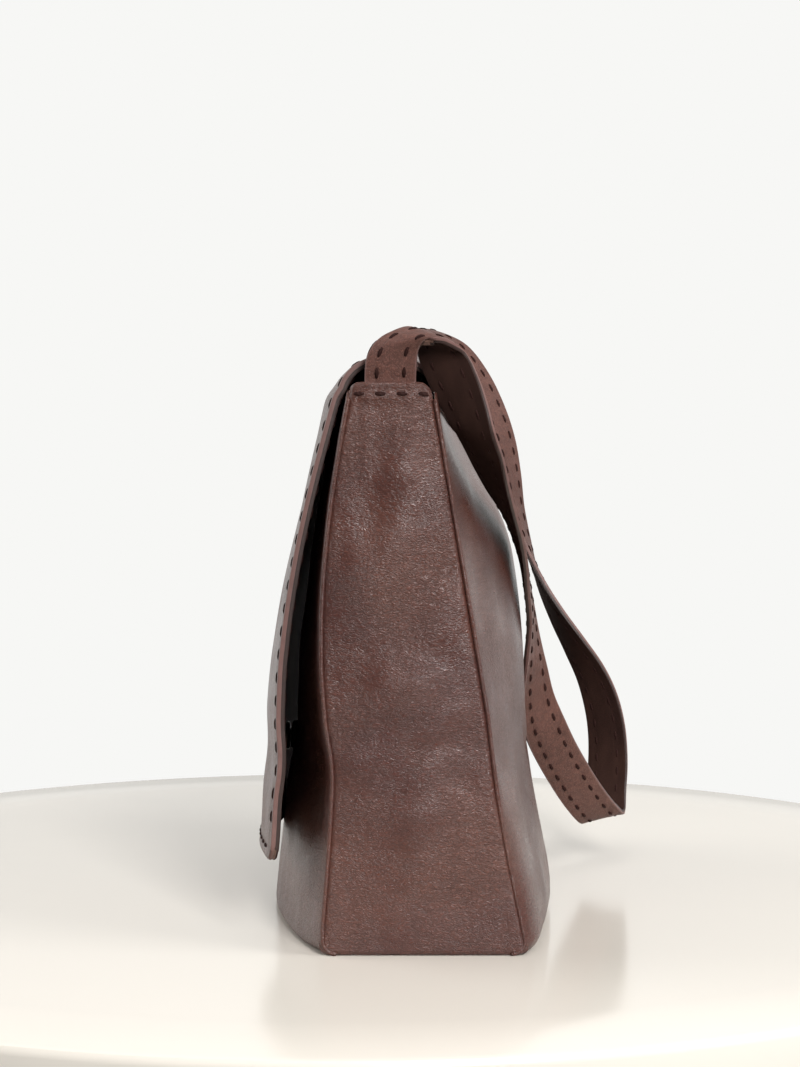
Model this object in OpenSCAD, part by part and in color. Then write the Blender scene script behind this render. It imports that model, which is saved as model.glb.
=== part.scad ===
// Leather flap shoulder bag with a fixed-length strap.
// +X runs along the width, -Y is the flap side, +Z is up. The base rests on z = 0.

/* [Bag] */
// Width between the two end gussets
bag_w = 300; // [260:1:360]
// Height from the base to the mouth at the gussets
bag_h = 250; // [235:1:275]
// Depth of the gussets along the base
base_d = 91; // [80:1:105]
// Depth of the gussets at the mouth
mouth_d = 35; // [32:1:44]
// How far the mouth leans forward of the middle of the base
lean = 14; // [8:1:20]
// How far the front panel bulges at mid width
front_bulge = 27; // [15:1:30]
// How far the back panel bulges at mid width
back_bulge = 20; // [10:1:22]
// Depth of the dent where the strap presses into the back panel
strap_dent = 5; // [0:0.5:6]
// How far the end gussets bulge
gusset_bulge = 2.5; // [0:0.5:4]
// How far the mouth sags at mid width
mouth_sag = 8; // [0:1:12]
// Radius of the turned edge along the base
edge_r = 6; // [5:0.5:8]

/* [Leather and lining] */
// Thickness of the body leather
leather_t = 1.6; // [1.2:0.1:2]
// Thickness of the lining cloth
lining_t = 0.8; // [0.5:0.1:1]
// Space for the padding between the leather and the lining
padding_t = 1.1; // [0.9:0.1:1.5]
// Thickness of the base board
board_t = 2; // [1.5:0.1:3]
// Height of the leather facings inside the mouth
facing_h = 28; // [20:1:40]
// Thickness of the leather facings
facing_t = 1.2; // [0.8:0.1:1.6]
// Clearance between neighbouring layers
gap = 0.2; // [0.1:0.05:0.3]

/* [Flap] */
// Distance of the flap's sides from the ends of the bag
flap_inset = 12; // [10:0.5:30]
// Height of the flap's lower edge above the base
flap_foot = 40; // [30:1:90]
// Thickness of each of the flap's two leather layers
flap_layer_t = 1.5; // [1.2:0.1:1.8]
// Space between the two layers of the flap
flap_core_t = 0.9; // [0.7:0.1:1.2]
// Radius of the flap's lower corners
flap_corner_r = 5; // [3:1:25]
// Rise of the flap over the mouth at its side edges
arch_side = 14; // [12:1:24]
// Rise of the flap over the mouth at mid width
arch_mid = 20; // [18:1:30]
// Distance of the flap's lower edge from the panel at its side edges
flare_side = 19; // [12:1:30]
// Distance of the flap's lower edge from the panel at mid width
flare_mid = 13; // [12.5:0.5:16]
// How far the snap draws the foot of the flap back in at mid width
snap_draw = 12; // [8:0.5:12]
// Distance of the flap's seam on the back panel below the mouth, at the side edges
seam_drop = 12; // [11:1:24]
// Sag of the flap's seam at mid width
seam_sag = 9; // [8:0.5:12]

/* [Strap] */
// Width of the strap
strap_w = 21; // [16:1:24]
// Thickness of the strap's two layers together
strap_t = 3.6; // [2.8:0.1:4]
// Length of the strap's ends that are sewn in behind the gussets
strap_tuck = 45; // [30:1:60]

/* [Magnetic snap] */
// Diameter of the snap
snap_d = 14; // [12:1:18]
// Height of the snap above the base
snap_z = 78; // [70:1:110]
// Thickness of the snap's flat washers
washer_t = 0.4; // [0.3:0.1:0.5]

/* [Inside pocket] */
// Width of the slip pocket
pocket_w = 160; // [120:1:180]
// Height of the slip pocket
pocket_h = 105; // [80:1:120]
// Distance of the pocket's mouth below the facing
pocket_drop = 14; // [8:1:24]

/* [Hidden] */

leather = "#4a2a20";
leather_edge = "#5b3a33";
lining = "#6a5648";
metal = "#b9a27a";

cols = 14;                    // steps across a panel
rows = 13;                    // steps up a panel
half_w = bag_w / 2;
lining_d = leather_t + padding_t;                 // depth of the lining below the surface
floor_z = leather_t + board_t + 2 * gap;          // underside of the base lining
lining_z = floor_z + lining_t + gap;              // foot of the wall linings
strap_x = half_w - leather_t - gap - strap_t / 2; // centre of the strap's sewn ends
end_x = strap_x - strap_t / 2 - gap;              // outer face of the gusset linings
wall_x = end_x - lining_t - gap;                  // ends of the wall linings
flap_w = bag_w - 2 * flap_inset;
flap_t = 2 * flap_layer_t + flap_core_t;
hinge_z = bag_h + 2;
arch_z = bag_h - 7;                               // where the arch of the flap springs

function lerp(a, b, t) = a + (b - a) * t;
function clamp(v, a, b) = min(max(v, a), b);
function ease(a, b, v) = let (t = clamp((v - a) / (b - a), 0, 1)) t * t * (3 - 2 * t);
function unit(v) = v / norm(v);
// Steps from -1 to 1, closer together near the two ends
function spread(j, n) = sin(90 * (2 * j / n - 1));

// --- The form of the body ---

// Edges of the end gussets, as y at a height z
function front_edge(z) = let (h = z / bag_h, t = clamp((h - 0.28) / 0.72, 0, 1))
    -lerp(base_d / 2, mouth_d / 2 + lean, h)
    - 7.5 * ease(0, 0.18, t) * sin(180 * t) + 1.5 * sin(180 * clamp(2 * h, 0, 1));
function back_edge(z) = let (h = z / bag_h)
    lerp(base_d / 2, mouth_d / 2 - lean, h) - 1.8 * sin(180 * clamp(h / 0.42, 0, 1));

// Share of the bulge at x, from 1 at mid width to 0 at the gussets
function crown(x, half) = 1 - pow(min(abs(x) / half, 1), 2.1);
function front_fill(h) = 0.33 + 0.67 * pow(cos(90 * clamp(h, 0, 1)), 3);
function back_fill(h) = let (t = ease(0.68, 1, h))
    (0.92 + 0.38 * exp(-pow((h - 0.58) / 0.2, 2))) * (1 - t) + 0.3 * t;

// Outer surfaces of the two panels
function front_y(x, z) = front_edge(z) - front_bulge * front_fill(z / bag_h) * crown(x, half_w);
function back_y(x, z) = back_edge(z) + back_bulge * back_fill(z / bag_h) * crown(x, half_w)
    - strap_dent * exp(-pow((x - 5) / 35, 2) - pow((z / bag_h - 0.45) / 0.14, 2));
function wall_y(side, x, z) = side < 0 ? front_y(x, z) : back_y(x, z);
function foot_y(side, x) = wall_y(side, x, edge_r) - side * edge_r;
function mouth_z(x) = bag_h - mouth_sag * crown(x, half_w);

// Grid over a panel from height z0 (or a drop below the mouth) to a drop below the mouth
function wall_grid(side, half, z0, drop0, drop1) =
    [for (k = [0 : rows])
        [for (j = [0 : cols])
            let (x = -side * half * spread(j, cols))
            let (low = z0 > 0 ? z0 : mouth_z(x) - drop0)
            let (z = lerp(low, mouth_z(x) - drop1, k / rows))
            [x, wall_y(side, x, z), z]]];

// Rows of the edge that turns under the bag
function turn_grid(side) =
    [for (a = [0 : 30 : 60])
        [for (j = [0 : cols])
            let (x = -side * half_w * spread(j, cols))
            [x, foot_y(side, x) + side * edge_r * sin(a), edge_r * (1 - cos(a))]]];

// Outline of the floor of the bag, pulled in from the turned edges by inset
function floor_outline(half, inset) = concat(
    [for (j = [0 : cols]) let (x = half * spread(j, cols)) [x, foot_y(-1, x) + inset]],
    [for (j = [cols : -1 : 0]) let (x = half * spread(j, cols)) [x, foot_y(1, x) - inset]]);

// --- Sheets ---

// Unit normal of a grid at row i and column j
function grid_normal(g, i, j) =
    let (m = len(g) - 1, n = len(g[0]) - 1)
    let (across = g[i][min(j + 1, n)] - g[i][max(j - 1, 0)])
    let (along = g[min(i + 1, m)][j] - g[max(i - 1, 0)][j])
    unit(cross(across, along));
function offset_grid(g, d) =
    [for (i = [0 : len(g) - 1]) [for (j = [0 : len(g[0]) - 1]) g[i][j] - d * grid_normal(g, i, j)]];

// Closed skin between an outer and an inner grid of the same size
module skin(outer, inner) {
    m = len(outer);
    n = len(outer[0]);
    points = [for (g = [outer, inner]) for (row = g) for (p = row) p];
    function quad(a, b, c, d) = [[a, b, c], [a, c, d]];
    faces = [
        for (i = [0 : m - 2]) for (j = [0 : n - 2])
            let (a = i * n + j, s = m * n)
            each concat(quad(a, a + n, a + n + 1, a + 1),
                        quad(s + a, s + a + 1, s + a + n + 1, s + a + n)),
        for (j = [0 : n - 2])
            let (t = (m - 1) * n + j, s = m * n)
            each concat(quad(j, j + 1, s + j + 1, s + j),
                        quad(t, s + t, s + t + 1, t + 1)),
        for (i = [0 : m - 2])
            let (a = i * n, b = i * n + n - 1, s = m * n)
            each concat(quad(a, s + a, s + a + n, a + n),
                        quad(b, b + n, s + b + n, s + b))
    ];
    polyhedron(points, faces, convexity = 6);
}

// Sheet of thickness t that lies depth below a grid of the body's surface
module sheet(grid, depth, t) {
    skin(offset_grid(grid, depth), offset_grid(grid, depth + t));
}

// --- Body ---

module front_panel() {
    color(leather)
        sheet(concat(turn_grid(-1), wall_grid(-1, half_w, edge_r, 0, 0)), 0, leather_t);
}

module back_panel() {
    color(leather)
        sheet(concat(turn_grid(1), wall_grid(1, half_w, edge_r, 0, 0)), 0, leather_t);
}

// Inner face of a panel at the gussets, where the edge turns under and above it
function inside_y(side, z, d) =
    let (r = edge_r - d, foot = foot_y(side, half_w))
    z < edge_r ? foot + side * sqrt(max(r * r - pow(edge_r - z, 2), 0))
               : wall_y(side, half_w, z) - side * d;

module gusset() {
    d = leather_t + 2 * gap;
    heights = concat([for (a = [0 : 30 : 60]) edge_r - (edge_r - d) * cos(a)],
                     [for (k = [0 : rows]) lerp(edge_r, bag_h, k / rows)]);
    grid = [for (z = heights)
        [for (j = [0 : 8])
            let (s = j / 4 - 1, y = lerp(inside_y(-1, z, d), inside_y(1, z, d), j / 8))
            [half_w + gusset_bulge * (1 - s * s) * sin(180 * z / bag_h), y, z]]];
    color(leather) sheet(grid, 0, leather_t);
}

module gusset_right() { gusset(); }
module gusset_left() { mirror([1, 0, 0]) gusset(); }

module base_panel() {
    color(leather)
        linear_extrude(leather_t) polygon(floor_outline(half_w, gap + leather_t * sin(15)));
}

module base_board() {
    color("#8a7458")
        translate([0, 0, leather_t + gap])
            linear_extrude(board_t)
                polygon(floor_outline(end_x - lining_t - gap, edge_r * 0.3));
}

module base_lining() {
    color(lining)
        translate([0, 0, floor_z])
            linear_extrude(lining_t)
                polygon(floor_outline(end_x - lining_t - gap, lining_d + gap - edge_r / 2));
}

// --- Inside ---

module front_lining() {
    color(lining) sheet(wall_grid(-1, wall_x, lining_z, 0, facing_h + gap), lining_d, lining_t);
}

module back_lining() {
    color(lining) sheet(wall_grid(1, wall_x, lining_z, 0, facing_h + gap), lining_d, lining_t);
}

module front_facing() {
    color(leather_edge) sheet(wall_grid(-1, wall_x, 0, facing_h, 0), leather_t + gap, facing_t);
}

module back_facing() {
    color(leather_edge) sheet(wall_grid(1, wall_x, 0, facing_h, 0), leather_t + gap, facing_t);
}

module gusset_lining() {
    inset = lining_d + lining_t;
    outline = concat(
        [for (k = [0 : rows]) let (z = lerp(lining_z, bag_h, k / rows)) [front_edge(z) + inset, z]],
        [for (k = [rows : -1 : 0]) let (z = lerp(lining_z, bag_h, k / rows)) [back_edge(z) - inset, z]]);
    color(lining)
        translate([end_x - lining_t, 0, 0]) rotate([90, 0, 90]) linear_extrude(lining_t) polygon(outline);
}

module gusset_lining_right() { gusset_lining(); }
module gusset_lining_left() { mirror([1, 0, 0]) gusset_lining(); }

// Place of a value in a rising list, counted in steps and parts of a step
function rank(list, v, k = 0) = k >= len(list) - 2 || v < list[k + 1]
    ? k + (v - list[k]) / (list[k + 1] - list[k]) : rank(list, v, k + 1);
// The whole steps between two ranks, and the two ranks themselves
function ranks(low, high) =
    concat([low], [for (k = [ceil(low + 0.15) : floor(high - 0.15)]) k], [high]);
function between(g, i, j) = let (a = min(floor(i), len(g) - 2), b = min(floor(j), len(g[0]) - 2))
    lerp(lerp(g[a][b], g[a][b + 1], j - b), lerp(g[a + 1][b], g[a + 1][b + 1], j - b), i - a);
// The pocket lies on the facets of the back lining, and ends at its own sizes
module slip_pocket() {
    top = bag_h - facing_h - pocket_drop;
    back = wall_grid(1, wall_x, lining_z, 0, facing_h + gap);
    across = [for (p = back[0]) -p[0]];
    up = [for (row = back) row[cols / 2][2]];
    js = ranks(rank(across, -pocket_w / 2), rank(across, pocket_w / 2));
    is = ranks(rank(up, top - pocket_h), rank(up, top));
    function patch(d) = let (g = offset_grid(back, d)) [for (i = is) [for (j = js) between(g, i, j)]];
    depth = lining_d + lining_t + 1.5 * gap;
    color(lining) skin(patch(depth), patch(depth + lining_t));
}

// --- Flap ---

// Inner face of the flap in front of the body, and behind it at the height where the arch springs
function flap_stand(x, z) =
    let (side = 1 - crown(x, flap_w / 2), h = clamp((arch_z - z) / (arch_z - flap_foot), 0, 1))
    lerp(1.2, 2.5, side) + lerp(flare_mid, flare_side, side) * h
    - snap_draw * exp(-pow(x / (0.2 * bag_w), 2)) * pow(clamp((h - 0.62) / 0.38, 0, 1), 1.65);
function flap_front(x, z) = front_y(x, z) - flap_stand(x, z);
function flap_back(x) = back_y(x, arch_z) + 2 * gap;
function arch_h(x) = lerp(arch_side, arch_mid, crown(x, flap_w / 2));
function arch_point(x, a) =
    let (front = flap_front(x, arch_z), back = flap_back(x))
    let (bow = a < 90 ? pow(cos(a), 0.5) : cos(a))
    [x, (front + back) / 2 + (back - front) / 2 * bow, arch_z + arch_h(x) * sin(a)];
function hinge_angle(x) = asin((hinge_z - arch_z) / arch_h(x));
// The flap's lower edge, with its corners rounded
function flap_low(x) = let (r = flap_corner_r, s = clamp((abs(x) - flap_w / 2 + r) / r, 0, 1))
    flap_foot + r * (1 - sqrt(1 - s * s));
function seam_z(x) = bag_h - seam_drop - seam_sag * crown(x, flap_w / 2);

// Rows of the moving flap, from the hinge over the mouth and down the front
function flap_grid() = concat(
    [for (k = [0 : 7])
        [for (j = [0 : cols])
            let (x = -flap_w / 2 * spread(j, cols))
            arch_point(x, lerp(hinge_angle(x) + 0.8, 180, k / 7))]],
    [for (k = [1 : 9])
        [for (j = [0 : cols])
            let (x = -flap_w / 2 * spread(j, cols), z = lerp(arch_z, flap_low(x), k / 9))
            [x, flap_front(x, z), z]]]);

// Rows of the flap's edge that is sewn to the back panel
function root_grid() = concat(
    [for (k = [0 : 1])
        [for (j = [0 : cols])
            let (x = -flap_w / 2 * spread(j, cols), z = lerp(seam_z(x), arch_z, k / 2))
            [x, back_y(x, z) + 2 * gap, z]]],
    [for (k = [0 : 3])
        [for (j = [0 : cols])
            let (x = -flap_w / 2 * spread(j, cols))
            arch_point(x, hinge_angle(x) * k / 3)]]);

module flap_root() {
    grid = root_grid();
    color(leather_edge) {
        sheet(grid, -flap_layer_t, flap_layer_t);
        sheet(grid, -flap_t, flap_layer_t);
    }
}

module flap_outer() { color(leather) sheet(flap_grid(), -flap_t, flap_layer_t); }
module flap_lining() { color(leather_edge) sheet(flap_grid(), -flap_layer_t, flap_layer_t); }

// --- Magnetic snap ---

// Middle lines of the front panel and of the flap, as pairs of height and y
seat_line = [for (row = wall_grid(-1, half_w, edge_r, 0, 0)) [row[cols / 2][2], row[cols / 2][1]]];
face_line = [for (row = flap_grid()) if (row[0][2] < arch_z) [row[cols / 2][2], row[cols / 2][1]]];
snap_seat = lookup(snap_z, seat_line);              // surface of the front panel
snap_face = lookup(snap_z, face_line);              // inner face of the flap
// How far each of the two leans back from upright over the height h
function leaning(line, h) =
    atan((lookup(snap_z + h / 2, line) - lookup(snap_z - h / 2, line)) / h);
seat_lean = leaning(seat_line, snap_d);
face_lean = leaning(face_line, snap_d);
snap_ease = 0.55;                                   // room between the snap and the leather
socket_t = (snap_seat - snap_face) * 0.42;          // thickness of the socket
stud_t = snap_seat - snap_face - socket_t - 2 * snap_ease - 6 * gap; // thickness of the plate
nose_d = snap_d * 0.4;
nose_h = 2;
washer_d = snap_d * 0.5;

// Disc that faces Y, starts offset behind the point y on its seat and leans with it
module disc(y, offset, t, d, lean) {
    translate([0, y, snap_z]) rotate([-90 - lean, 0, 0])
        translate([0, 0, offset]) cylinder(h = t, d = d, $fn = 48);
}

module snap_socket() {
    color(metal)
        difference() {
            disc(snap_seat, -snap_ease - socket_t, socket_t, snap_d, seat_lean);
            disc(snap_seat, -snap_ease - socket_t - 1, nose_h + 1.2, nose_d + 3, seat_lean);
        }
}

module snap_stud() {
    color(metal) {
        disc(snap_face, snap_ease, stud_t, snap_d, face_lean);
        disc(snap_face, snap_ease + stud_t - 0.1, nose_h + 0.1, nose_d, face_lean);
    }
}

module socket_washer() {
    color(metal)
        disc(snap_seat, leather_t + (padding_t - washer_t) * 0.4, washer_t, washer_d, seat_lean);
}

module stud_washer() {
    color(metal)
        disc(snap_face, -flap_layer_t - (flap_core_t + washer_t) / 2, washer_t, washer_d, face_lean);
}

// --- Strap ---

// Route of the strap as a share of the half width, the distance behind the back panel
// and a share of the height, each with the direction of the strap's width
route = [
    [[0.982, -0.074, 1.028], [0.10, 1.00, 0.00]],
    [[0.990, -0.07, 1.048], [0.40, 0.90, 0.00]],
    [[1.003, -0.056, 1.068], [0.75, 0.65, -0.10]],
    [[1.013, -0.034, 1.080], [0.93, 0.36, -0.10]],
    [[1.020, -0.006, 1.082], [1.00, 0.01, -0.06]],
    [[1.023, 0.016, 1.064], [0.95, 0.27, 0.15]],
    [[1.023, 0.028, 1.032], [0.80, 0.50, 0.35]],
    [[1.020, 0.04, 0.996], [0.72, 0.55, 0.42]],
    [[1.007, 0.048, 0.964], [0.70, 0.56, 0.44]],
    [[0.960, 0.056, 0.916], [0.71, 0.57, 0.41]],
    [[0.880, 0.06, 0.876], [0.74, 0.59, 0.32]],
    [[0.780, 0.058, 0.832], [0.79, 0.58, 0.17]],
    [[0.667, 0.054, 0.784], [0.87, 0.48, 0.03]],
    [[0.567, 0.05, 0.744], [0.94, 0.33, -0.04]],
    [[0.480, 0.042, 0.700], [0.97, 0.14, -0.03]],
    [[0.380, 0.034, 0.648], [1.00, 0.02, 0.00]],
    [[0.253, 0.028, 0.576], [1.00, -0.03, 0.00]],
    [[0.140, 0.034, 0.496], [0.96, -0.28, -0.04]],
    [[0.060, 0.042, 0.432], [0.84, -0.53, -0.10]],
    [[-0.013, 0.046, 0.368], [0.60, -0.76, -0.24]],
    [[-0.093, 0.06, 0.304], [0.22, -0.93, -0.30]],
    [[-0.187, 0.084, 0.240], [0.00, -0.90, -0.43]],
    [[-0.307, 0.122, 0.164], [0.00, -0.93, -0.37]],
    [[-0.420, 0.158, 0.112], [0.00, -0.96, -0.28]],
    [[-0.487, 0.178, 0.108], [-0.05, -0.97, -0.22]],
    [[-0.540, 0.196, 0.150], [-0.20, -0.95, -0.20]],
    [[-0.580, 0.216, 0.208], [-0.42, -0.89, -0.15]],
    [[-0.620, 0.228, 0.272], [-0.55, -0.82, -0.13]],
    [[-0.660, 0.228, 0.332], [-0.65, -0.73, -0.20]],
    [[-0.707, 0.216, 0.392], [-0.78, -0.58, -0.22]],
    [[-0.753, 0.194, 0.452], [-0.88, -0.43, -0.17]],
    [[-0.800, 0.172, 0.516], [-0.95, -0.25, -0.15]],
    [[-0.847, 0.156, 0.588], [-0.99, -0.06, -0.08]],
    [[-0.900, 0.152, 0.668], [-0.98, 0.15, 0.05]],
    [[-0.950, 0.154, 0.748], [-0.93, 0.35, 0.10]],
    [[-0.985, 0.162, 0.828], [-0.87, 0.45, 0.15]],
    [[-1.007, 0.16, 0.904], [-0.80, 0.52, 0.25]],
    [[-1.020, 0.146, 0.976], [-0.75, 0.55, 0.33]],
    [[-1.030, 0.114, 1.048], [-0.74, 0.56, 0.33]],
    [[-1.030, 0.066, 1.112], [-0.78, 0.57, 0.20]],
    [[-1.027, 0.02, 1.146], [-0.96, 0.25, 0.08]],
    [[-1.022, -0.014, 1.152], [-1.00, 0.02, 0.06]],
    [[-1.015, -0.044, 1.140], [-0.86, 0.50, 0.00]],
    [[-1.002, -0.062, 1.104], [-0.45, 0.89, -0.05]],
    [[-0.993, -0.07, 1.066], [-0.25, 0.96, 0.00]],
    [[-0.984, -0.0732, 1.032], [-0.10, 1.00, 0.00]],
];
hinge_right = 4;      // stations of the route at the strap's two hinges
hinge_left = 41;
steps = 3;            // rings from one station to the next

// The sewn ends go straight down behind the gussets
tucked = [for (s = [1, 0.53, 0.25, 0])
    [strap_x, back_edge(bag_h) + route[0][0][1] * bag_h, bag_h - s * strap_tuck]];
function flip_x(p) = [-p[0], p[1], p[2]];
function place(p) =
    let (x = p[0] * half_w, z = p[2] * bag_h)
    [x, back_y(x, min(z, bag_h)) + p[1] * bag_h, z];
stations = concat(
    [for (p = tucked) [p, [0, 1, 0]]],
    [for (s = route) [place(s[0]), s[1]]],
    [for (i = [3 : -1 : 0]) [flip_x(tucked[i]), [0, 1, 0]]]);
first = len(tucked) + hinge_right;
last = len(tucked) + hinge_left;

// Smooth curve through the stations
function spline(a, b, c, d, t) =
    b + t / 2 * (c - a) + t * t / 2 * (2 * a - 5 * b + 4 * c - d)
    + t * t * t / 2 * (3 * b - a - 3 * c + d);
function along(k, s) =
    let (n = len(stations) - 1, i = min(floor(s), n - 1))
    spline(stations[max(i - 1, 0)][k], stations[i][k], stations[i + 1][k],
           stations[min(i + 2, n)][k], s - i);

// The leather is thinned where it bends at its two hinges
function thinning(p) =
    let (d = min(norm(p - stations[first][0]), norm(p - stations[last][0])))
    lerp(0.2, 1, clamp(d / (2.5 * strap_t), 0, 1));

// The strap folds on the slant over its two arches and runs square to its route elsewhere
function squareness(p) =
    let (d = min(norm(p - stations[first][0]), norm(p - stations[last][0])))
    ease(0.57 * strap_w, 2.4 * strap_w, d);

// One ring of the strap, between two offsets from its middle
function strap_ring(s, low, high) =
    let (p = along(0, s), n = len(stations) - 1)
    let (heading = unit(along(0, min(s + 0.02, n)) - along(0, max(s - 0.02, 0))))
    let (raw = unit(along(1, s)), across = unit(raw - squareness(p) * (raw * heading) * heading))
    let (out = cross(across, heading), w = strap_w / 2 * across, t = thinning(p))
    [p + w + t * high * out, p - w + t * high * out, p - w + t * low * out, p + w + t * low * out];

// Stretch of the strap from one place on the route to another
module strap_run(from, to, low, high) {
    count = ceil((to - from) * steps);
    rings = [for (i = [0 : count]) strap_ring(lerp(from, to, i / count), low, high)];
    points = [for (ring = rings) for (p = ring) p];
    e = 4 * count;
    // Both broad sides are split along the same diagonal, so that the two layers stay parallel
    faces = concat(
        [for (i = [0 : count - 1]) for (j = [0 : 3])
            let (a = 4 * i + j, b = 4 * i + (j + 1) % 4)
            each j == 2 ? [[a, b, a + 4], [b, b + 4, a + 4]] : [[a, b, b + 4], [a, b + 4, a + 4]]],
        [[0, 3, 2], [0, 2, 1], [e, e + 1, e + 2], [e, e + 2, e + 3]]);
    polyhedron(points, faces, convexity = 8);
}

slit = 0.03;          // share of a station left open at each hinge

module strap_ends(from, to) {
    color(leather) {
        strap_run(from, to, gap / 2, strap_t / 2);
        strap_run(from, to, -strap_t / 2, -gap / 2);
    }
}

module strap_end_right() { strap_ends(0, first - slit); }
module strap_end_left() { strap_ends(last + slit, len(stations) - 1); }
module strap_outer() { color(leather) strap_run(first + slit, last - slit, gap / 2, strap_t / 2); }
module strap_lining() {
    color(leather_edge) strap_run(first + slit, last - slit, -strap_t / 2, -gap / 2);
}

front_panel();
back_panel();
gusset_right();
gusset_left();
base_panel();
base_board();
front_facing();
back_facing();
front_lining();
back_lining();
gusset_lining_right();
gusset_lining_left();
base_lining();
slip_pocket();
flap_root();
flap_outer();
flap_lining();
strap_end_right();
strap_end_left();
strap_outer();
strap_lining();
snap_socket();
snap_stud();
socket_washer();
stud_washer();
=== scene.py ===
"""Flap shoulder bag in chocolate cowhide, standing on a round table. Laid out as an add-on."""

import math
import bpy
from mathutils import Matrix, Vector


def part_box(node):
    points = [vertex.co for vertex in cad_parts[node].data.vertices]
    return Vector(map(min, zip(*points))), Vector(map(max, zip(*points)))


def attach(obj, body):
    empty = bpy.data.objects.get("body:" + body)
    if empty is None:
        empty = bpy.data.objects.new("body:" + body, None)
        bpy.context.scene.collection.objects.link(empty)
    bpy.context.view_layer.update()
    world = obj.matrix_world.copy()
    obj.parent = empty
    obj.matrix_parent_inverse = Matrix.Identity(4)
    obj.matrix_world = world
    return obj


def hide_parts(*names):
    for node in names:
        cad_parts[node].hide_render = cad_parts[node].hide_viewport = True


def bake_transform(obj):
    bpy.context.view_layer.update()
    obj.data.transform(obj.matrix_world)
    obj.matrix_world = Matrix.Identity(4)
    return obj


bl_info = {
    "name": "Leather flap bag",
    "version": (1, 0, 0),
    "blender": (4, 5, 0),
    "location": "3D View > Sidebar > Flap Bag",
    "description": "Builds a stitched leather flap shoulder bag piece by piece",
    "category": "Add Mesh",
}

import bmesh
import bpy
import numpy as np
from bpy.props import FloatProperty, IntProperty, PointerProperty, StringProperty
from mathutils import Vector

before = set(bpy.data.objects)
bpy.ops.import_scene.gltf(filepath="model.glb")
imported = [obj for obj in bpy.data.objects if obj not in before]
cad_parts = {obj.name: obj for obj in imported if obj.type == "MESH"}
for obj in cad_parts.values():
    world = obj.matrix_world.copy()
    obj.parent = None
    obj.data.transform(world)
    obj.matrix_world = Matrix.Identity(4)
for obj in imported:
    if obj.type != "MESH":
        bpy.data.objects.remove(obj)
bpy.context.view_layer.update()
LOW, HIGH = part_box("back_panel")
# Lengths are in mm up to the point where a mesh is made; meshes are in metres.
MM = 0.001
W = (HIGH[0] - LOW[0]) / MM          # width of the body
H = HIGH[2] / MM                     # height of its mouth
HALF = W / 2
SEAM = HALF + 0.7                    # outermost line of the seam rolls
INSIDE = HALF - 6.6                  # half width of the linings
FLAP_HALF = 138.0                    # half the cut width of the flap
FLAP_FOOT = 40.0                     # height of its lower edge
CORNER = 5.0                         # radius of its two corners
FLAP_T = 3.9                         # both layers with the core between them
MARGIN = 4.0                         # from a cut edge to its row of stitches
ARCH_Z = H - 7                       # where the flap leaves the back to fold over the mouth
EDGE_R = 6.0                         # turned lower edge of the panels
BEAD_R = 0.95                        # roll of the panel leather along the gusset seams
HIDE_T = 1.6                         # thickness of one hide
CLOTH_T = 0.6                        # thickness of the lining cloth
CLOTH_FOOT = 5.2                     # height at which the linings of the walls begin
STRAP_Y = -15.0                      # middle of the strap's sewn ends
PITCH = 10.3                         # one hand stitch of the flap to the next
STITCH = 6.0                         # length of its thread that shows
FINE_SEAM = {"pitch": 4.2, "length": 2.8, "width": 0.6, "sink": 0.08}   # machine stitches inside

# Soft spots in the hide: depth, two coordinates on the face, two radii, turn in degrees.
GUSSET_WAVES = (
    (1.3, -10, 212, 8, 32, -6), (1.5, -11, 184, 20, 9, 32), (1.5, -27, 164, 16, 8, 34),
    (1.2, 4, 143, 9, 17, -28), (1.4, -2, 117, 18, 9, 30), (1.2, 0, 68, 9, 24, -12),
    (0.9, -26, 86, 20, 8, 28), (0.7, 16, 34, 20, 8, 10), (-1.5, -21, 132, 22, 8, 32),
    (-1.1, 2, 163, 18, 7, 34), (-1.0, 12, 94, 18, 8, 28), (-0.7, -18, 50, 24, 9, 18),
    (-0.9, -23, 200, 7, 22, 0),
)
BACK_CREASES = (
    (-1.6, 45, 78, 30, 5, 24), (-1.2, 70, 58, 26, 4, 30), (-1.0, 20, 96, 24, 5, 12),
)


# ---------------- numbers

def lerp(a, b, t):
    """a plus the share t of the way to b."""
    return a + (b - a) * t


def ease(a, b, v):
    """0 below a, 1 above b, and 3t^2 - 2t^3 between them."""
    t = np.clip((np.asarray(v, float) - a) / (b - a), 0, 1)
    return t * t * (3 - 2 * t)


def unit(v):
    """Vectors divided by their own lengths."""
    v = np.asarray(v, float)
    return v / np.maximum(np.linalg.norm(v, axis=-1, keepdims=True), 1e-12)


def waves(p, seed, count, short, long, depth):
    """Sum of plane sine waves with seeded directions.

    Their lengths lie between short and long, and a wave's height is depth times its length
    over long.
    """
    rng = np.random.default_rng(seed)
    way = unit(rng.normal(size=(count, 3)))
    size = np.exp(rng.uniform(math.log(short), math.log(long), count))
    phase = rng.uniform(0, 2 * math.pi, count)
    angle = 2 * math.pi * np.tensordot(p, (way / size[:, None]).T, axes=1) + phase
    return (np.sin(angle) * size / long).sum(-1) * depth / math.sqrt(count)


def spots(a, b, table):
    """Sum over a table of depth exp(-(u / ra)^2 - (v / rb)^2).

    u and v run from (a0, b0) along axes turned by the last number of a row, in degrees.
    """
    total = np.zeros(np.broadcast(a, b).shape)
    for depth, a0, b0, ra, rb, turn in table:
        c, s = math.cos(math.radians(turn)), math.sin(math.radians(turn))
        u, v = (a - a0) * c + (b - b0) * s, (b - b0) * c - (a - a0) * s
        total += depth * np.exp(-((u / ra) ** 2) - (v / rb) ** 2)
    return total


# ---------------- form of the bag

def crown(x, half):
    """1 at mid width, falling with |x / half| to the power 2.1 to 0 at the ends."""
    return 1 - np.minimum(np.abs(x) / half, 1) ** 2.1


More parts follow.
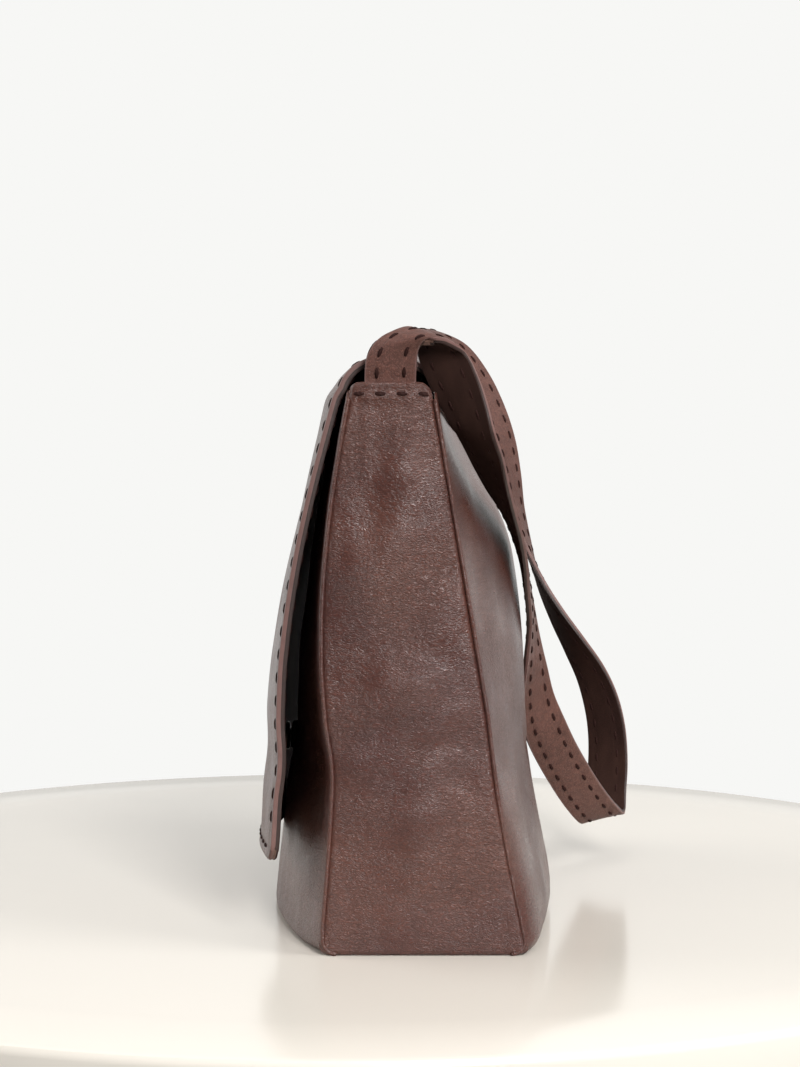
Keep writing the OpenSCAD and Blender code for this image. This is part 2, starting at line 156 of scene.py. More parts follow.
def front_edge(z):
    """Front seam of a gusset: a straight line with an eased sine above h 0.28 and a low bow.

    y = lerp(-45.5, -31.5, h) - 7.5 ease(t) sin(pi t) + 1.5 sin(2 pi h) over the lower half.
    """
    h = z / H
    t = np.clip((h - 0.28) / 0.72, 0, 1)
    return (-lerp(45.5, 31.5, h) - 7.5 * ease(0, 0.18, t) * np.sin(math.pi * t)
            + 1.5 * np.sin(math.pi * np.clip(2 * h, 0, 1)))


def back_edge(z):
    """Back seam of a gusset: a straight line, drawn in by 1.8 sin(pi h / 0.42) low down."""
    h = z / H
    return lerp(45.5, 3.5, h) - 1.8 * np.sin(math.pi * np.clip(h / 0.42, 0, 1))


def front_y(x, z):
    """Outer face of the front: the seam line less a bulge that fades as cos^3 to the mouth."""
    fill = 0.33 + 0.67 * np.cos(math.pi / 2 * np.clip(z / H, 0, 1)) ** 3
    return front_edge(z) - 27 * fill * crown(x, HALF)


def back_y(x, z):
    """Outer face of the back: the seam line, a bulge with a hump at h 0.58, the strap's dent."""
    h = z / H
    t = ease(0.68, 1, h)
    fill = (0.92 + 0.38 * np.exp(-((h - 0.58) / 0.2) ** 2)) * (1 - t) + 0.3 * t
    dent = 5 * np.exp(-((x - 5) / 35) ** 2 - ((h - 0.45) / 0.14) ** 2)
    return back_edge(z) + 20 * fill * crown(x, HALF) - dent


def wall_y(side, x, z):
    """Front or back face, by the sign of side."""
    return front_y(x, z) if side < 0 else back_y(x, z)


def mouth_z(x):
    """Height of the mouth: 8 mm of sag at mid width, and 4.5 exp(-(d / 15)^2) in the corners."""
    return H - 8 * crown(x, HALF) - 4.5 * np.exp(-((HALF - np.abs(x)) / 15) ** 2)


def flap_front(x, z):
    """Inner face of the hanging flap: the front plus a stand-off that grows with depth h.

    Towards the foot the snap draws it back in at mid width, by 12 exp(-(x / 60)^2) times the
    power 1.65 of the last 0.38 of the depth, and the foot curls in by 2.6.
    """
    side = 1 - crown(x, FLAP_HALF)
    h = np.clip((ARCH_Z - z) / (ARCH_Z - FLAP_FOOT), 0, 1)
    draw = 12 * np.exp(-(x / (0.2 * W)) ** 2) * np.clip((h - 0.62) / 0.38, 0, 1) ** 1.65
    curl = 2.6 * ease(72, 40, z)
    return front_y(x, z) - lerp(1.2, 2.5, side) - lerp(13, 19, side) * h + draw + curl


def arch(x, a):
    """Fold over the mouth: y runs as a power of cos a and z rises as sin a.

    At mid width it rises 23, with powers 0.62 behind and 2.0 in front. At its ends it comes
    down over the hems, 15.5 high, with powers 1.1 and 0.8. In front y is cut by a tenth.
    """
    front, back = flap_front(x, ARCH_Z), back_y(x, ARCH_Z) + 0.4
    side = (1 - crown(x, FLAP_HALF)) ** 0.8
    c, s = np.cos(a), np.clip(np.sin(a), 0, 1)
    power = np.where(a < math.pi / 2, lerp(0.62, 1.1, side), lerp(2.0, 0.8, side))
    bow = np.sign(c) * np.abs(c) ** power * np.where(c < 0, 1 - 0.1 * ease(0, 0.25, s), 1)
    y = (front + back) / 2 + (back - front) / 2 * bow
    return grid(x, y, ARCH_Z + lerp(23, 15.5, side) * s)


# ---------------- meshes

def grid(x, y, z):
    """Points of a surface from three arrays that broadcast against each other."""
    return np.stack(np.broadcast_arrays(x, y, z), -1).astype(float)


def normals(g):
    """Unit normals of a grid: the cross product of its two central differences."""
    return unit(np.cross(np.gradient(g, axis=1), np.gradient(g, axis=0)))


def out_sign(g, way):
    """1 or -1, by whether the normals at the middle of a grid point the given way."""
    n = normals(g)[g.shape[0] // 2, g.shape[1] // 2]
    return 1 if float(n @ np.asarray(way, float)) > 0 else -1


def outward(g, way):
    """Unit normals of a grid, all turned so that its middle looks the given way."""
    return normals(g) * out_sign(g, way)


def lengths(g, axis=0):
    """Running length along one direction of a grid or a path."""
    step = np.linalg.norm(np.diff(g, axis=axis), axis=-1)
    first = np.zeros_like(np.take(step, [0], axis=axis))
    return np.concatenate([first, np.cumsum(step, axis=axis)], axis=axis)


def resample(path, run, at):
    """Points at the running lengths at, on straight lines between those of a path."""
    return np.stack([np.interp(at, run, path[:, c]) for c in range(3)], -1)


def ring_quads(rings, size):
    """Quads between rings of points, each ring closed on itself."""
    i, j = np.arange(rings - 1)[:, None] * size, np.arange(size)[None]
    a, b = i + j, i + (j + 1) % size
    return np.stack([a, b, b + size, a + size], -1).reshape(-1, 4)


def new_object(name, points, corners, sizes, materials, index=None, uv=None, sharp=50):
    """Object from points in mm, a flat list of corners and the corner count of each face."""
    mesh = bpy.data.meshes.new(name)
    corners, sizes = np.asarray(corners, np.int32).ravel(), np.asarray(sizes, np.int32)
    mesh.vertices.add(len(points))
    mesh.vertices.foreach_set("co", (np.asarray(points, float) * MM).ravel())
    mesh.loops.add(len(corners))
    mesh.loops.foreach_set("vertex_index", corners)
    mesh.polygons.add(len(sizes))
    starts = np.concatenate([[0], np.cumsum(sizes)[:-1]]).astype(np.int32)
    mesh.polygons.foreach_set("loop_start", starts)
    mesh.polygons.foreach_set("loop_total", sizes)
    if index is not None:
        mesh.polygons.foreach_set("material_index", np.asarray(index, np.int32))
    if uv is not None:
        layer = mesh.uv_layers.new(name="lay")
        layer.data.foreach_set("uv", (uv[corners] * MM).astype(np.float32).ravel())
    mesh.update(calc_edges=True)
    mesh.validate()
    bm = bmesh.new()
    bm.from_mesh(mesh)
    bmesh.ops.recalc_face_normals(bm, faces=bm.faces)
    bm.to_mesh(mesh)
    bm.free()
    mesh.polygons.foreach_set("use_smooth", np.ones(len(mesh.polygons), bool))
    mesh.set_sharp_from_angle(angle=math.radians(sharp))
    for m in materials:
        mesh.materials.append(m)
    obj = bpy.data.objects.new(name, mesh)
    bpy.context.scene.collection.objects.link(obj)
    return obj


def spun(name, rings, material, sharp):
    """Closed body from rings of points, with a face over each end."""
    m, k = rings.shape[:2]
    quads = ring_quads(m, k)
    corners = np.concatenate([quads.ravel(), np.arange(k)[::-1], (m - 1) * k + np.arange(k)])
    sizes = np.concatenate([np.full(len(quads), 4), [k, k]])
    return new_object(name, rings.reshape(-1, 3), corners, sizes, [material], sharp=sharp)


def sheet(name, face, thick, materials, out, rim=(True, True), blunt=(1.0, 1.0)):
    """Closed sheet of hide or cloth under a grid of its outer face.

    Each row is a loop: the face, a half round of radius thick / 2 over one edge, the back, and
    a half round over the other. At a rounded end the loop narrows as cos p and moves on by
    sin p times thick / 2. blunt is a pair of powers, on the face side and on the back: below 1
    it squares the round off, as |cos p|^blunt and sin p^blunt. out is the way the middle of
    the face looks, or the sign of its normals. Materials are those of the face, the cut edge
    and the back.
    """
    arc = 3                          # steps of each half round
    n = normals(face) * (out if np.isscalar(out) else out_sign(face, out))
    m, k = face.shape[:2]
    t = np.broadcast_to(np.asarray(thick, float), (m, k))[..., None] / 2
    mid = face - n * t
    u, v = lengths(face, 1), lengths(face, 0)
    u = u - u[:, k // 2][:, None]
    along0, along1 = unit(mid[0] - mid[1]), unit(mid[-1] - mid[-2])
    over = unit(mid[:, -1] - mid[:, -2]), unit(mid[:, 0] - mid[:, 1])
    turn = np.pi * (np.arange(arc) + 1) / (arc + 1)
    power = np.where(turn < np.pi / 2 + 0.01, *blunt)
    up = (np.sign(np.cos(turn)) * np.abs(np.cos(turn)) ** power)[:, None]
    side = (np.sin(turn) ** power)[:, None]

    def ring(i, p, shift):
        c, r = math.cos(p), t[i]
        base = mid[i] + shift * r * math.sin(p)
        cap1 = base[-1] + r[-1] * c * (up * n[i, -1] + side * over[0][i])
        cap0 = base[0] + r[0] * c * (up * n[i, 0] + side * over[1][i])
        face_row, back_row = base + n[i] * r * c, base - n[i] * r * c
        return np.concatenate([face_row, cap1, back_row[::-1], cap0[::-1]])

    def ring_uv(i):
        more = float(t[i, 0, 0]) * turn
        a = np.concatenate([u[i], u[i, -1] + more, u[i][::-1], u[i, 0] - more[::-1]])
        b = np.concatenate([v[i], np.full(arc, v[i, -1]), v[i][::-1], np.full(arc, v[i, 0])])
        return np.stack([a, b], -1)

    caps = [math.radians(a) for a in (78, 48, 20)]
    plan = [(0, p, along0) for p in caps if rim[0]] + [(i, 0, 0 * along0) for i in range(m)]
    plan += [(m - 1, p, along1) for p in caps[::-1] if rim[1]]
    points = np.concatenate([ring(*row) for row in plan])
    uv = np.concatenate([ring_uv(row[0]) for row in plan])
    count, size = len(plan), 2 * k + 2 * arc
    quads = ring_quads(count, size)
    q = np.arange(size)
    kind = np.where(q < k - 1, 0, np.where((q >= k + arc) & (q < 2 * k + arc - 1), 2, 1))
    # each end is closed by quads across the sheet and a fan of corners at each side
    j = np.arange(k - 1)
    back = k + arc + (k - 1 - j)
    lid = np.stack([j, j + 1, back - 1, back], -1)
    top = (count - 1) * size
    side1 = np.arange(k - 1, k + arc + 1)
    side0 = np.concatenate([np.arange(2 * k + arc - 1, size), [0]])
    corners = np.concatenate([quads.ravel(), lid.ravel(), (lid + top).ravel(),
                              side1, side0, side1 + top, side0 + top])
    sizes = np.concatenate([np.full(len(quads) + 2 * len(lid), 4), np.full(4, arc + 2)])
    kinds = np.concatenate([np.tile(kind, count - 1), np.full(2 * len(lid) + 4, 1)])
    return new_object(name, points, corners, sizes, materials, kinds, uv)


def follow(path, normal, at):
    """Points, tangents and normals of a path at the running lengths at."""
    s = lengths(path)
    p = resample(path, s, at)
    d = unit(resample(path, s, np.minimum(at + 0.4, s[-1]))
             - resample(path, s, np.maximum(at - 0.4, 0)))
    n = resample(normal, s, at)
    return p, d, unit(n - (n * d).sum(-1, keepdims=True) * d)


def sew(name, paths, pitch=None, length=None, width=1.6, sink=0.25, margin=3.0):
    """One object that holds every saddle stitch along several paths with normals.

    A stitch runs over t from -1 to 1: its middle rises as 1 - |t|^3 and its half width shrinks
    as the root of 1 - t^4, so that both ends go down into the hide. Its plies bulge it by
    0.16 cos(2 p + 5.5 t) round its section.
    """
    sizes = bpy.context.scene.flap_bag_sizes
    pitch, length = pitch or sizes.pitch, length or sizes.stitch
    tau = np.array([-1, -0.9, -0.66, -0.33, 0, 0.33, 0.66, 0.9, 1])
    around = 2 * np.pi * np.arange(7) / 7
    m, k = len(tau), len(around)
    out = []
    for path, normal in paths:
        whole = lengths(path)[-1]
        count = max(int((whole - 2 * margin - length) / pitch) + 1, 1)
        first = (whole - (count - 1) * pitch) / 2
        at = first + np.arange(count)[:, None] * pitch + tau * length / 2
        p, d, n = follow(path, normal, at.ravel())
        p, d, n = (v.reshape(count, m, 1, 3) for v in (p, d, n))
        half = (width / 2 * np.sqrt(np.maximum(1 - tau ** 4, 0.02)))[:, None, None]
        rise = (width * 0.42 * (1 - np.abs(tau) ** 3) - sink)[:, None, None]
        c, s = np.cos(around)[:, None], np.sin(around)[:, None]
        ply = (1 + 0.16 * np.cos(2 * around + 5.5 * tau[:, None]))[..., None]
        out.append(p + n * (rise + 0.5 * half * ply * s) + np.cross(d, n) * half * ply * c)
    p = np.concatenate(out)
    base = (np.arange(len(p)) * m * k)[:, None]
    quads = (base[..., None] + ring_quads(m, k)).reshape(-1, 4)
    ends = np.concatenate([base + np.arange(k)[::-1], base + (m - 1) * k + np.arange(k)])
    corners = np.concatenate([quads.ravel(), ends.ravel()])
    counts = np.concatenate([np.full(len(quads), 4), np.full(len(ends), k)])
    uv = np.tile(grid(around * width / 2, tau[:, None] * length / 2, 0)[..., :2].reshape(-1, 2),
                 (len(p), 1))
    return new_object(name, p.reshape(-1, 3), corners, counts, layers("waxed_thread"), None, uv, 70)


def turned(name, profile, centre, lean, material):
    """Profile of (radius, height) pairs turned round the Y axis, leaned and set at a centre."""
    profile = np.asarray(profile, float)
    a = 2 * np.pi * np.arange(64) / 64
    r, h = profile[:, :1], profile[:, 1:]
    x, y, z = r * np.cos(a), -h + 0 * a, r * np.sin(a)
    c, s = math.cos(lean), math.sin(lean)
    return spun(name, grid(x, y * c + z * s, z * c - y * s) + np.asarray(centre), material, 35)


def put(obj, body, slot, *nodes):
    """A finished piece rides on a body and stands for its nodes; its slot is not used."""
    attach(obj, body)
    if nodes:
        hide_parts(*nodes)
    return obj


# ---------------- materials

def linear(hex_colour):
    """sRGB hex to linear RGBA."""
    c = np.array([int(hex_colour[i:i + 2], 16) / 255 for i in (1, 3, 5)])
    c = np.where(c <= 0.04045, c / 12.92, ((c + 0.055) / 1.055) ** 2.4)
    return (float(c[0]), float(c[1]), float(c[2]), 1.0)


def add(tree, kind, inputs=None, **settings):
    """A node with its settings; an input is a value, or a socket to link from."""
    node = tree.nodes.new(kind)
    for key, value in settings.items():
        setattr(node, key, value)
    for key, value in (inputs or {}).items():
        socket = node.inputs[key]
        if isinstance(value, bpy.types.NodeSocket):
            tree.links.new(value, socket)
        else:
            socket.default_value = value
    return node


def blank(name):
    """Empty material and its tree."""
    material = bpy.data.materials.new(name)
    material.use_nodes = True
    material.node_tree.nodes.clear()
    return material, material.node_tree


def in_metres(tree):
    """The object's own coordinates."""
    return add(tree, "ShaderNodeTexCoord").outputs["Object"]


def on_sheet(tree):
    """Coordinates along the sheet as it was cut, in metres."""
    return add(tree, "ShaderNodeUVMap", uv_map="lay").outputs[0]


def scaled(tree, coordinates, scale):
    """Coordinates stretched by a scale per axis."""
    return add(tree, "ShaderNodeMapping", {"Vector": coordinates, "Scale": scale}).outputs[0]


def calc(tree, operation, a, b=0.0, c=0.0):
    """Result of a math node."""
    return add(tree, "ShaderNodeMath", {0: a, 1: b, 2: c}, operation=operation).outputs[0]


def vector(tree, operation, a, b=(0.0, 0.0, 0.0), scale=1.0):
    """Result of a vector math node."""
    return add(tree, "ShaderNodeVectorMath", {0: a, 1: b, 3: scale}, operation=operation).outputs[0]


def between(tree, value, low, high, out0=0.0, out1=1.0):
    """A value mapped from one range to another and held inside it."""
    return add(tree, "ShaderNodeMapRange", {"Value": value, "From Min": low, "From Max": high,
                                            "To Min": out0, "To Max": out1}).outputs[0]


def noise(tree, at, scale, detail=2.0, rough=0.5, out="Fac"):
    """Noise between 0 and 1 at a number of turns per metre."""
    return add(tree, "ShaderNodeTexNoise", {"Vector": at, "Scale": scale, "Detail": detail,
                                            "Roughness": rough}).outputs[out]


def mixed(tree, share, low, high):
    """Colour between two hex values."""
    return add(tree, "ShaderNodeMix", {"Factor": share, "A": linear(low), "B": linear(high)},
               data_type="RGBA").outputs["Result"]


def bump(tree, height, strength, distance):
    """Normal raised by a height of 0 to 1, distance in metres."""
    return add(tree, "ShaderNodeBump", {"Height": height, "Strength": strength,
                                        "Distance": distance}).outputs[0]


def shaded(material, tree, colour, rough, **more):
    """The material, closed with a principled shader; more holds its other inputs."""
    inputs = {"Base Color": colour, "Roughness": rough}
    inputs.update((key.replace("_", " "), value) for key, value in more.items())
    shader = add(tree, "ShaderNodeBsdfPrincipled", inputs)
    add(tree, "ShaderNodeOutputMaterial", {"Surface": shader.outputs[0]})
    return material


def cowhide(name, colour, deep, rough, cell=(1.9, 1.9, 0.8), relief=1.0, lay=False):
    """Drum-dyed, lightly milled cowhide: semi-gloss, with pressed grain across the hang.

    cell is the size in mm of one grain along each axis. Grooves between the grains come from
    the distance to the nearest cell edge; finer grains, long creases and pores lie over them.
    Heights in mm: 0.14 grain, 0.012 fine grain and up to 0.21 creases, all three lower where
    the hide has been worked less, then 0.5 soft swell and 0.008 pores.
    """
    material, tree = blank(name)
    where = in_metres(tree)
    place = on_sheet(tree) if lay else where
    push = vector(tree, "SUBTRACT", noise(tree, place, 480.0, 3.0, out="Color"), (0.5, 0.5, 0.5))
    moved = vector(tree, "ADD", place, vector(tree, "SCALE", push, scale=0.0021))

    def cells(scale, groove):
        at = scaled(tree, moved, tuple(scale / c for c in cell))
        edge = add(tree, "ShaderNodeTexVoronoi", {"Vector": at, "Scale": 1.0},
                   feature="DISTANCE_TO_EDGE").outputs["Distance"]
        return between(tree, edge, 0.0, groove)
    grain, fine = cells(1000.0, 0.36), cells(2300.0, 0.3)
    stretched = scaled(tree, moved, tuple(1000.0 / c for c in (5.5, 5.5, 1.5)))
    long = noise(tree, stretched, 1.0, 4.0, 0.6)
    crease = between(tree, calc(tree, "ABSOLUTE", calc(tree, "SUBTRACT", long, 0.5)), 0.0, 0.09)
    drift = noise(tree, where, 16.0, 3.0, 0.55)
    patch = noise(tree, where, 34.0, 3.0, 0.6)
    swell = noise(tree, where, 90.0, 3.0, 0.55)
    pore = noise(tree, where, 2100.0, 1.0)
    worked = between(tree, patch, 0.38, 0.62, 0.35)
    height = calc(tree, "MULTIPLY", grain, 0.14)
    height = calc(tree, "MULTIPLY_ADD", fine, 0.012, height)
    height = calc(tree, "MULTIPLY_ADD", crease, calc(tree, "MULTIPLY", worked, 0.21), height)
    height = calc(tree, "MULTIPLY", height, calc(tree, "MULTIPLY_ADD", worked, 0.7, 0.3))
    height = calc(tree, "MULTIPLY_ADD", swell, 0.5, height)
    height = calc(tree, "MULTIPLY_ADD", pore, 0.008, height)
    # painted shade and highlight: the grooves of the grain and the long creases are darkened and
    # the crowns of the grain lightened, as light falls on the relief
    painted_grain_shade = calc(tree, "MULTIPLY", between(tree, grain, 0.0, 1.0, 0.68, 1.08),
               between(tree, crease, 0.0, 0.8, 0.78, 1.05))
    tone = mixed(tree, between(tree, drift, 0.35, 0.65), deep, colour)
    tone = vector(tree, "SCALE", tone, scale=painted_grain_shade)
    gloss = calc(tree, "ADD", between(tree, patch, 0.3, 0.7, rough - 0.05, rough + 0.05),
                 between(tree, grain, 0.0, 1.0, 0.08, 0.0))
    return shaded(material, tree, tone, gloss, IOR=1.5, Normal=bump(tree, height, relief, 0.001))


def edge_paint(name, colour, worn):
    """Cut edges sealed with two coats of edge paint: smooth, faintly uneven, softly shining."""
    material, tree = blank(name)
    runs = noise(tree, in_metres(tree), 260.0, 3.0)
    return shaded(material, tree, mixed(tree, runs, colour, worn), 0.48,
                  Normal=bump(tree, runs, 0.4, 0.0004))


def flesh_side(name, colour):
    """Split hide seen from behind: matt, napped and a little lighter than the grain side."""
    material, tree = blank(name)
    place = in_metres(tree)
    light = between(tree, noise(tree, place, 40.0, 3.0), 0.3, 0.7, 0.88, 1.1)
    nap = bump(tree, noise(tree, place, 900.0, 4.0, 0.7), 0.5, 0.00025)
    tone = vector(tree, "SCALE", linear(colour)[:3], scale=light)
    return shaded(material, tree, tone, 0.82, Sheen_Weight=0.15, Normal=nap)


def nubuck_calf(name, colour, dark):
    """Calf sanded to a fine nap behind the flap and the strap: matt, very dark, barely shining."""
    material, tree = blank(name)
    place = in_metres(tree)
    brushed = noise(tree, scaled(tree, place, (1.0, 1.0, 0.4)), 60.0, 3.0)
    nap = bump(tree, noise(tree, place, 1100.0, 4.0, 0.7), 0.5, 0.0002)
    tone = mixed(tree, between(tree, brushed, 0.3, 0.7), dark, colour)
    return shaded(material, tree, tone, 0.9, Specular_IOR_Level=0.12, Normal=nap)


def cotton_twill(name, colour, dark):
    """Cotton twill lining: diagonal ribs, drawn on the cloth's own lay."""
    material, tree = blank(name)
    place = in_metres(tree)
    ribs = add(tree, "ShaderNodeTexWave",
               {"Vector": on_sheet(tree), "Scale": 250.0, "Distortion": 0.6, "Detail": 1.0,
                "Detail Scale": 3.0}, wave_type="BANDS", bands_direction="DIAGONAL").outputs["Fac"]
    height = calc(tree, "ADD", ribs, noise(tree, place, 1500.0))
    fade = between(tree, noise(tree, place, 18.0, 3.0), 0.3, 0.7, 0.9, 1.08)
    tone = vector(tree, "SCALE", mixed(tree, ribs, dark, colour), scale=fade)
    return shaded(material, tree, tone, 0.85, Sheen_Weight=0.2,
                  Normal=bump(tree, height, 0.6, 0.0002))


def waxed_thread(name, colour, worn):
    """Waxed linen thread, its plies laid at a slant."""
    material, tree = blank(name)
    plies = add(tree, "ShaderNodeTexWave", {"Vector": on_sheet(tree), "Scale": 330.0},
                wave_type="BANDS", bands_direction="DIAGONAL").outputs["Fac"]
    tone = mixed(tree, noise(tree, in_metres(tree), 2600.0), colour, worn)
    return shaded(material, tree, tone, 0.7, Specular_IOR_Level=0.1,
                  Normal=bump(tree, plies, 0.5, 0.00018))


def black_nickel(name, dark, light):
    """Snap plated in black nickel: dark warm metal, its tone varied at random, and fine turning
    marks.
    """
    material, tree = blank(name)
    place = in_metres(tree)
    marks = noise(tree, place, 700.0, 3.0)
    tone = mixed(tree, noise(tree, place, 120.0, 4.0), dark, light)
    return shaded(material, tree, tone, between(tree, marks, 0.3, 0.7, 0.28, 0.42), Metallic=1.0,
                  Normal=bump(tree, marks, 0.15, 0.0001))


def bag_board(name, dark, light):
    """Grey bag board: matt pressed fibre with small specks."""
    material, tree = blank(name)
    specks = noise(tree, in_metres(tree), 600.0, 5.0)
    return shaded(material, tree, mixed(tree, specks, dark, light), 0.9,
                  Normal=bump(tree, specks, 0.4, 0.0002))


def finish(name):
    """A material by its finish, made once: a maker and what it takes after the name."""
    c = bpy.context.scene.flap_bag_colours
    makers = {
        "milled_cowhide": (cowhide, c.hide, c.hide_deep, 0.30),
        "panel_cowhide": (cowhide, c.hide, c.hide_deep, 0.27),
        "flap_cowhide": (cowhide, c.hide, c.hide_deep, 0.30, (1.9, 1.9, 0.8), 0.7),
        "strap_cowhide": (cowhide, c.strap, c.hide, 0.52, (0.9, 1.5, 1.0), 0.7, True),
        "smooth_calf": (cowhide, c.inner_hide, c.inner_deep, 0.62, (1.0, 1.0, 1.0), 0.4),
        "nubuck_calf": (nubuck_calf, c.inner_hide, c.inner_deep),
        "edge_paint": (edge_paint, c.edge, c.edge_worn),
        "edge_paint_deep": (edge_paint, c.inner_deep, c.inner_hide),
        "flesh_side": (flesh_side, c.flesh),
        "cotton_twill": (cotton_twill, c.cloth, c.cloth_deep),
        "waxed_thread": (waxed_thread, c.thread, c.thread_worn),
        "black_nickel": (black_nickel, c.metal_deep, c.metal),
        "bag_board": (bag_board, c.board_deep, c.board),
    }
    maker, *given = makers[name]
    return bpy.data.materials.get(name) or maker(name, *given)


def layers(*names):
    """The finishes of a piece, in the order of its material slots."""
    return [finish(name) for name in names]


# ---------------- settings

def in_mm(name, description, default, low, high):
    """A size in millimetres."""
    return FloatProperty(name=name, description=description + ", in mm", default=default,
                         min=low, max=high)


class FlapBagSizes(bpy.types.PropertyGroup):
    """Sizes of the leather work, in millimetres on the bag itself."""
    hide: in_mm("Hide", "Thickness of the gussets' hide", HIDE_T, 0.8, 2.5)
    bead: in_mm("Seam roll", "Radius of the roll along the gusset seams", BEAD_R, 0.6, 2.5)
    pitch: in_mm("Stitch pitch", "From one stitch of the flap to the next", PITCH, 3, 14)
    stitch: in_mm("Stitch", "Thread of the flap's stitches that shows", STITCH, 2, 9)
    strap_wide: in_mm("Strap width", "Width of the strap", 21.0, 12, 40)
    ripple: in_mm("Ripple", "Depth of the soft waves in the hide", 0.9, 0, 3)
    fine: IntProperty(name="Fineness", description="Steps along the width of a panel",
                      default=110, min=30, max=200)


def in_hex(name, description, default):
    """A colour as an sRGB hex value."""
    return StringProperty(name=name, description=description, default=default)


class FlapBagColours(bpy.types.PropertyGroup):
    """Colours of the finishes, as sRGB hex values."""
    hide: in_hex("Hide", "Grain side of the body hide", "#613c32")
    hide_deep: in_hex("Hide, deep", "Its darker drift", "#52302a")
    # lighter than the body hide: partly the strap's own colour, partly a painted sheen that stands
    # in for the highlight on its top
    strap: in_hex("Strap", "Grain side of the strap", "#744d43")
    inner_hide: in_hex("Lining hide", "Calf behind the flap and strap", "#38251f")
    inner_deep: in_hex("Lining hide, deep", "Its darker drift", "#2b1b17")
    edge: in_hex("Edge paint", "Painted cut edges", "#664a45")
    edge_worn: in_hex("Edge paint, worn", "Where it has rubbed", "#7a5a54")
    flesh: in_hex("Flesh side", "Back of the hide", "#6b4d41")
    cloth: in_hex("Twill", "Lining cloth", "#8a7360")
    cloth_deep: in_hex("Twill, deep", "Between its ribs", "#5f4d3f")
    thread: in_hex("Thread", "Waxed thread", "#241311")
    thread_worn: in_hex("Thread, worn", "Where its wax has rubbed off", "#38221e")
    metal: in_hex("Snap", "Black nickel", "#58524c")
    metal_deep: in_hex("Snap, deep", "Its darker hollows", "#2a2624")
    board: in_hex("Board", "Bag board", "#6a625a")
    board_deep: in_hex("Board, deep", "Its specks", "#3a3633")
    table: in_hex("Table", "Lacquered table top", "#e6dfd4")
    wall: in_hex("Wall", "Plain wall", "#f7f7f5")


# ---------------- body

def panel_lift(side, g):
    """How far a panel's hide stands off its plain wall, with d the distance from the seam.

    Seeded waves that fade towards the seams and the foot; the seam allowance inside, as
    exp(-(d / 12)^2); fuller low corners, as (1 - exp(-d / 9)) exp(-(d / 46)^2); and at mid
    width a bow about height 58 in front, or a fuller wall about height 190 and three
    creases behind.
    """
    x, z = g[..., :1], g[..., 2:]
    d, mid = HALF - np.abs(x), crown(x, HALF)
    seam, corner = (1.3, 0.8) if side < 0 else (0.5, 5.0)
    ripple = bpy.context.scene.flap_bag_sizes.ripple
    lift = waves(g, 11 + side, 26, 26, 95, ripple)[..., None]
    lift = lift * np.clip(d / 18, 0, 1) * ease(0, 25, z)
    lift += seam * np.exp(-(d / 12) ** 2) * ease(0, 14, z)
    lift += corner * (1 - np.exp(-d / 9)) * np.exp(-(d / 46) ** 2) * (1 - ease(18, 95, z))
    if side < 0:
        return lift + 2.0 * mid * np.exp(-((z - 58) / 30) ** 2)
    wall = 2.6 * (ease(-8, 20, z) - 0.8 * ease(215, 245, z)) + 2.4 * np.exp(-((z - 190) / 22) ** 2)
    return lift + wall * mid + spots(x, z, BACK_CREASES)


def panel_grid(side, fine, bead):
    """Outer face of the front or back: the turned edge, the wall, and a roll along both seams.

    Rows climb a quarter arc of radius EDGE_R, less 3 in front or plus 4 behind at mid width,
    and then the wall, whose upper corners drop by 3 (1 - sqrt(1 - t^2)) over the last 4 mm.
    Past each end of a row the face goes round a circle of radius bead,
    c + bead (cos p n + sin p e), for p up to 142 degrees.
    """
    way = (0, side, 0)
    x = np.linspace(-1, 1, fine)
    x = (0.8 * x + 0.2 * np.sin(np.pi / 2 * x)) * (SEAM - bead)
    r = EDGE_R + (-3 if side < 0 else 4) * ease(0.02, 0.4, crown(x, HALF))
    foot = wall_y(side, x, r) - side * r
    a = np.radians([2, 14, 26, 38, 50, 62, 74, 84])[:, None]
    under = grid(x, foot + side * r * np.sin(a), r * (1 - np.cos(a)))
    turn = np.clip(1 - (SEAM - bead - np.abs(x)) / 4, 0, 1)
    top = mouth_z(x) - 3.0 * (1 - np.sqrt(1 - turn ** 2))
    z = lerp(r, top, np.linspace(0, 1, fine)[:, None] ** 0.97)
    g = np.concatenate([under, grid(x, wall_y(side, x, z), z)])
    n = outward(g, way)
    # near the table the hide moves out level, and the first row stays under the bag
    n[..., 2] *= ease(2, 14, g[..., 2])
    n = unit(n) * np.minimum(np.arange(len(g)) / 3, 1)[:, None, None]
    g = g + n * panel_lift(side, g)
    n = outward(g, way)
    p = np.radians([16, 34, 52, 70, 88, 106, 124, 142])[:, None]

    def roll(col, end):
        edge, normal, across = g[:, col], n[:, col], np.array([end, 0, 0])
        e = unit(across - (normal * across).sum(-1, keepdims=True) * normal)
        ring = np.cos(p) * normal[:, None] + np.sin(p) * e[:, None]
        return (edge - bead * normal)[:, None] + bead * ring
    return np.concatenate([roll(0, -1)[:, ::-1], g, roll(-1, 1)], 1)


def build_panels():
    """Front and back hides, and the underside laid just inside their turned edges.

    The underside rises by 0.25 (1 - |2t - 1|^8) across its depth.
    """
    s = bpy.context.scene.flap_bag_sizes
    skins = layers("panel_cowhide", "panel_cowhide", "flesh_side")
    for side, name in ((-1, "front_panel"), (1, "back_panel")):
        g = panel_grid(side, s.fine, s.bead)
        put(sheet(name + "_hide", g, 1.1, skins, (0, side, 0)), "bag", "body_leather", name)
    inset = EDGE_R + 0.8
    x = np.linspace(-1, 1, 60) * (HALF - 4.5)
    t = np.linspace(0, 1, 30)[:, None]
    y = lerp(front_y(x, EDGE_R) + inset, back_y(x, EDGE_R) - inset, t)
    g = grid(x, y, 0.12 + 0.25 * (1 - np.abs(2 * t - 1) ** 8))
    put(sheet("base_hide", g, 1.4, skins, (0, 0, -1)), "bag", "body_leather", "base_panel")


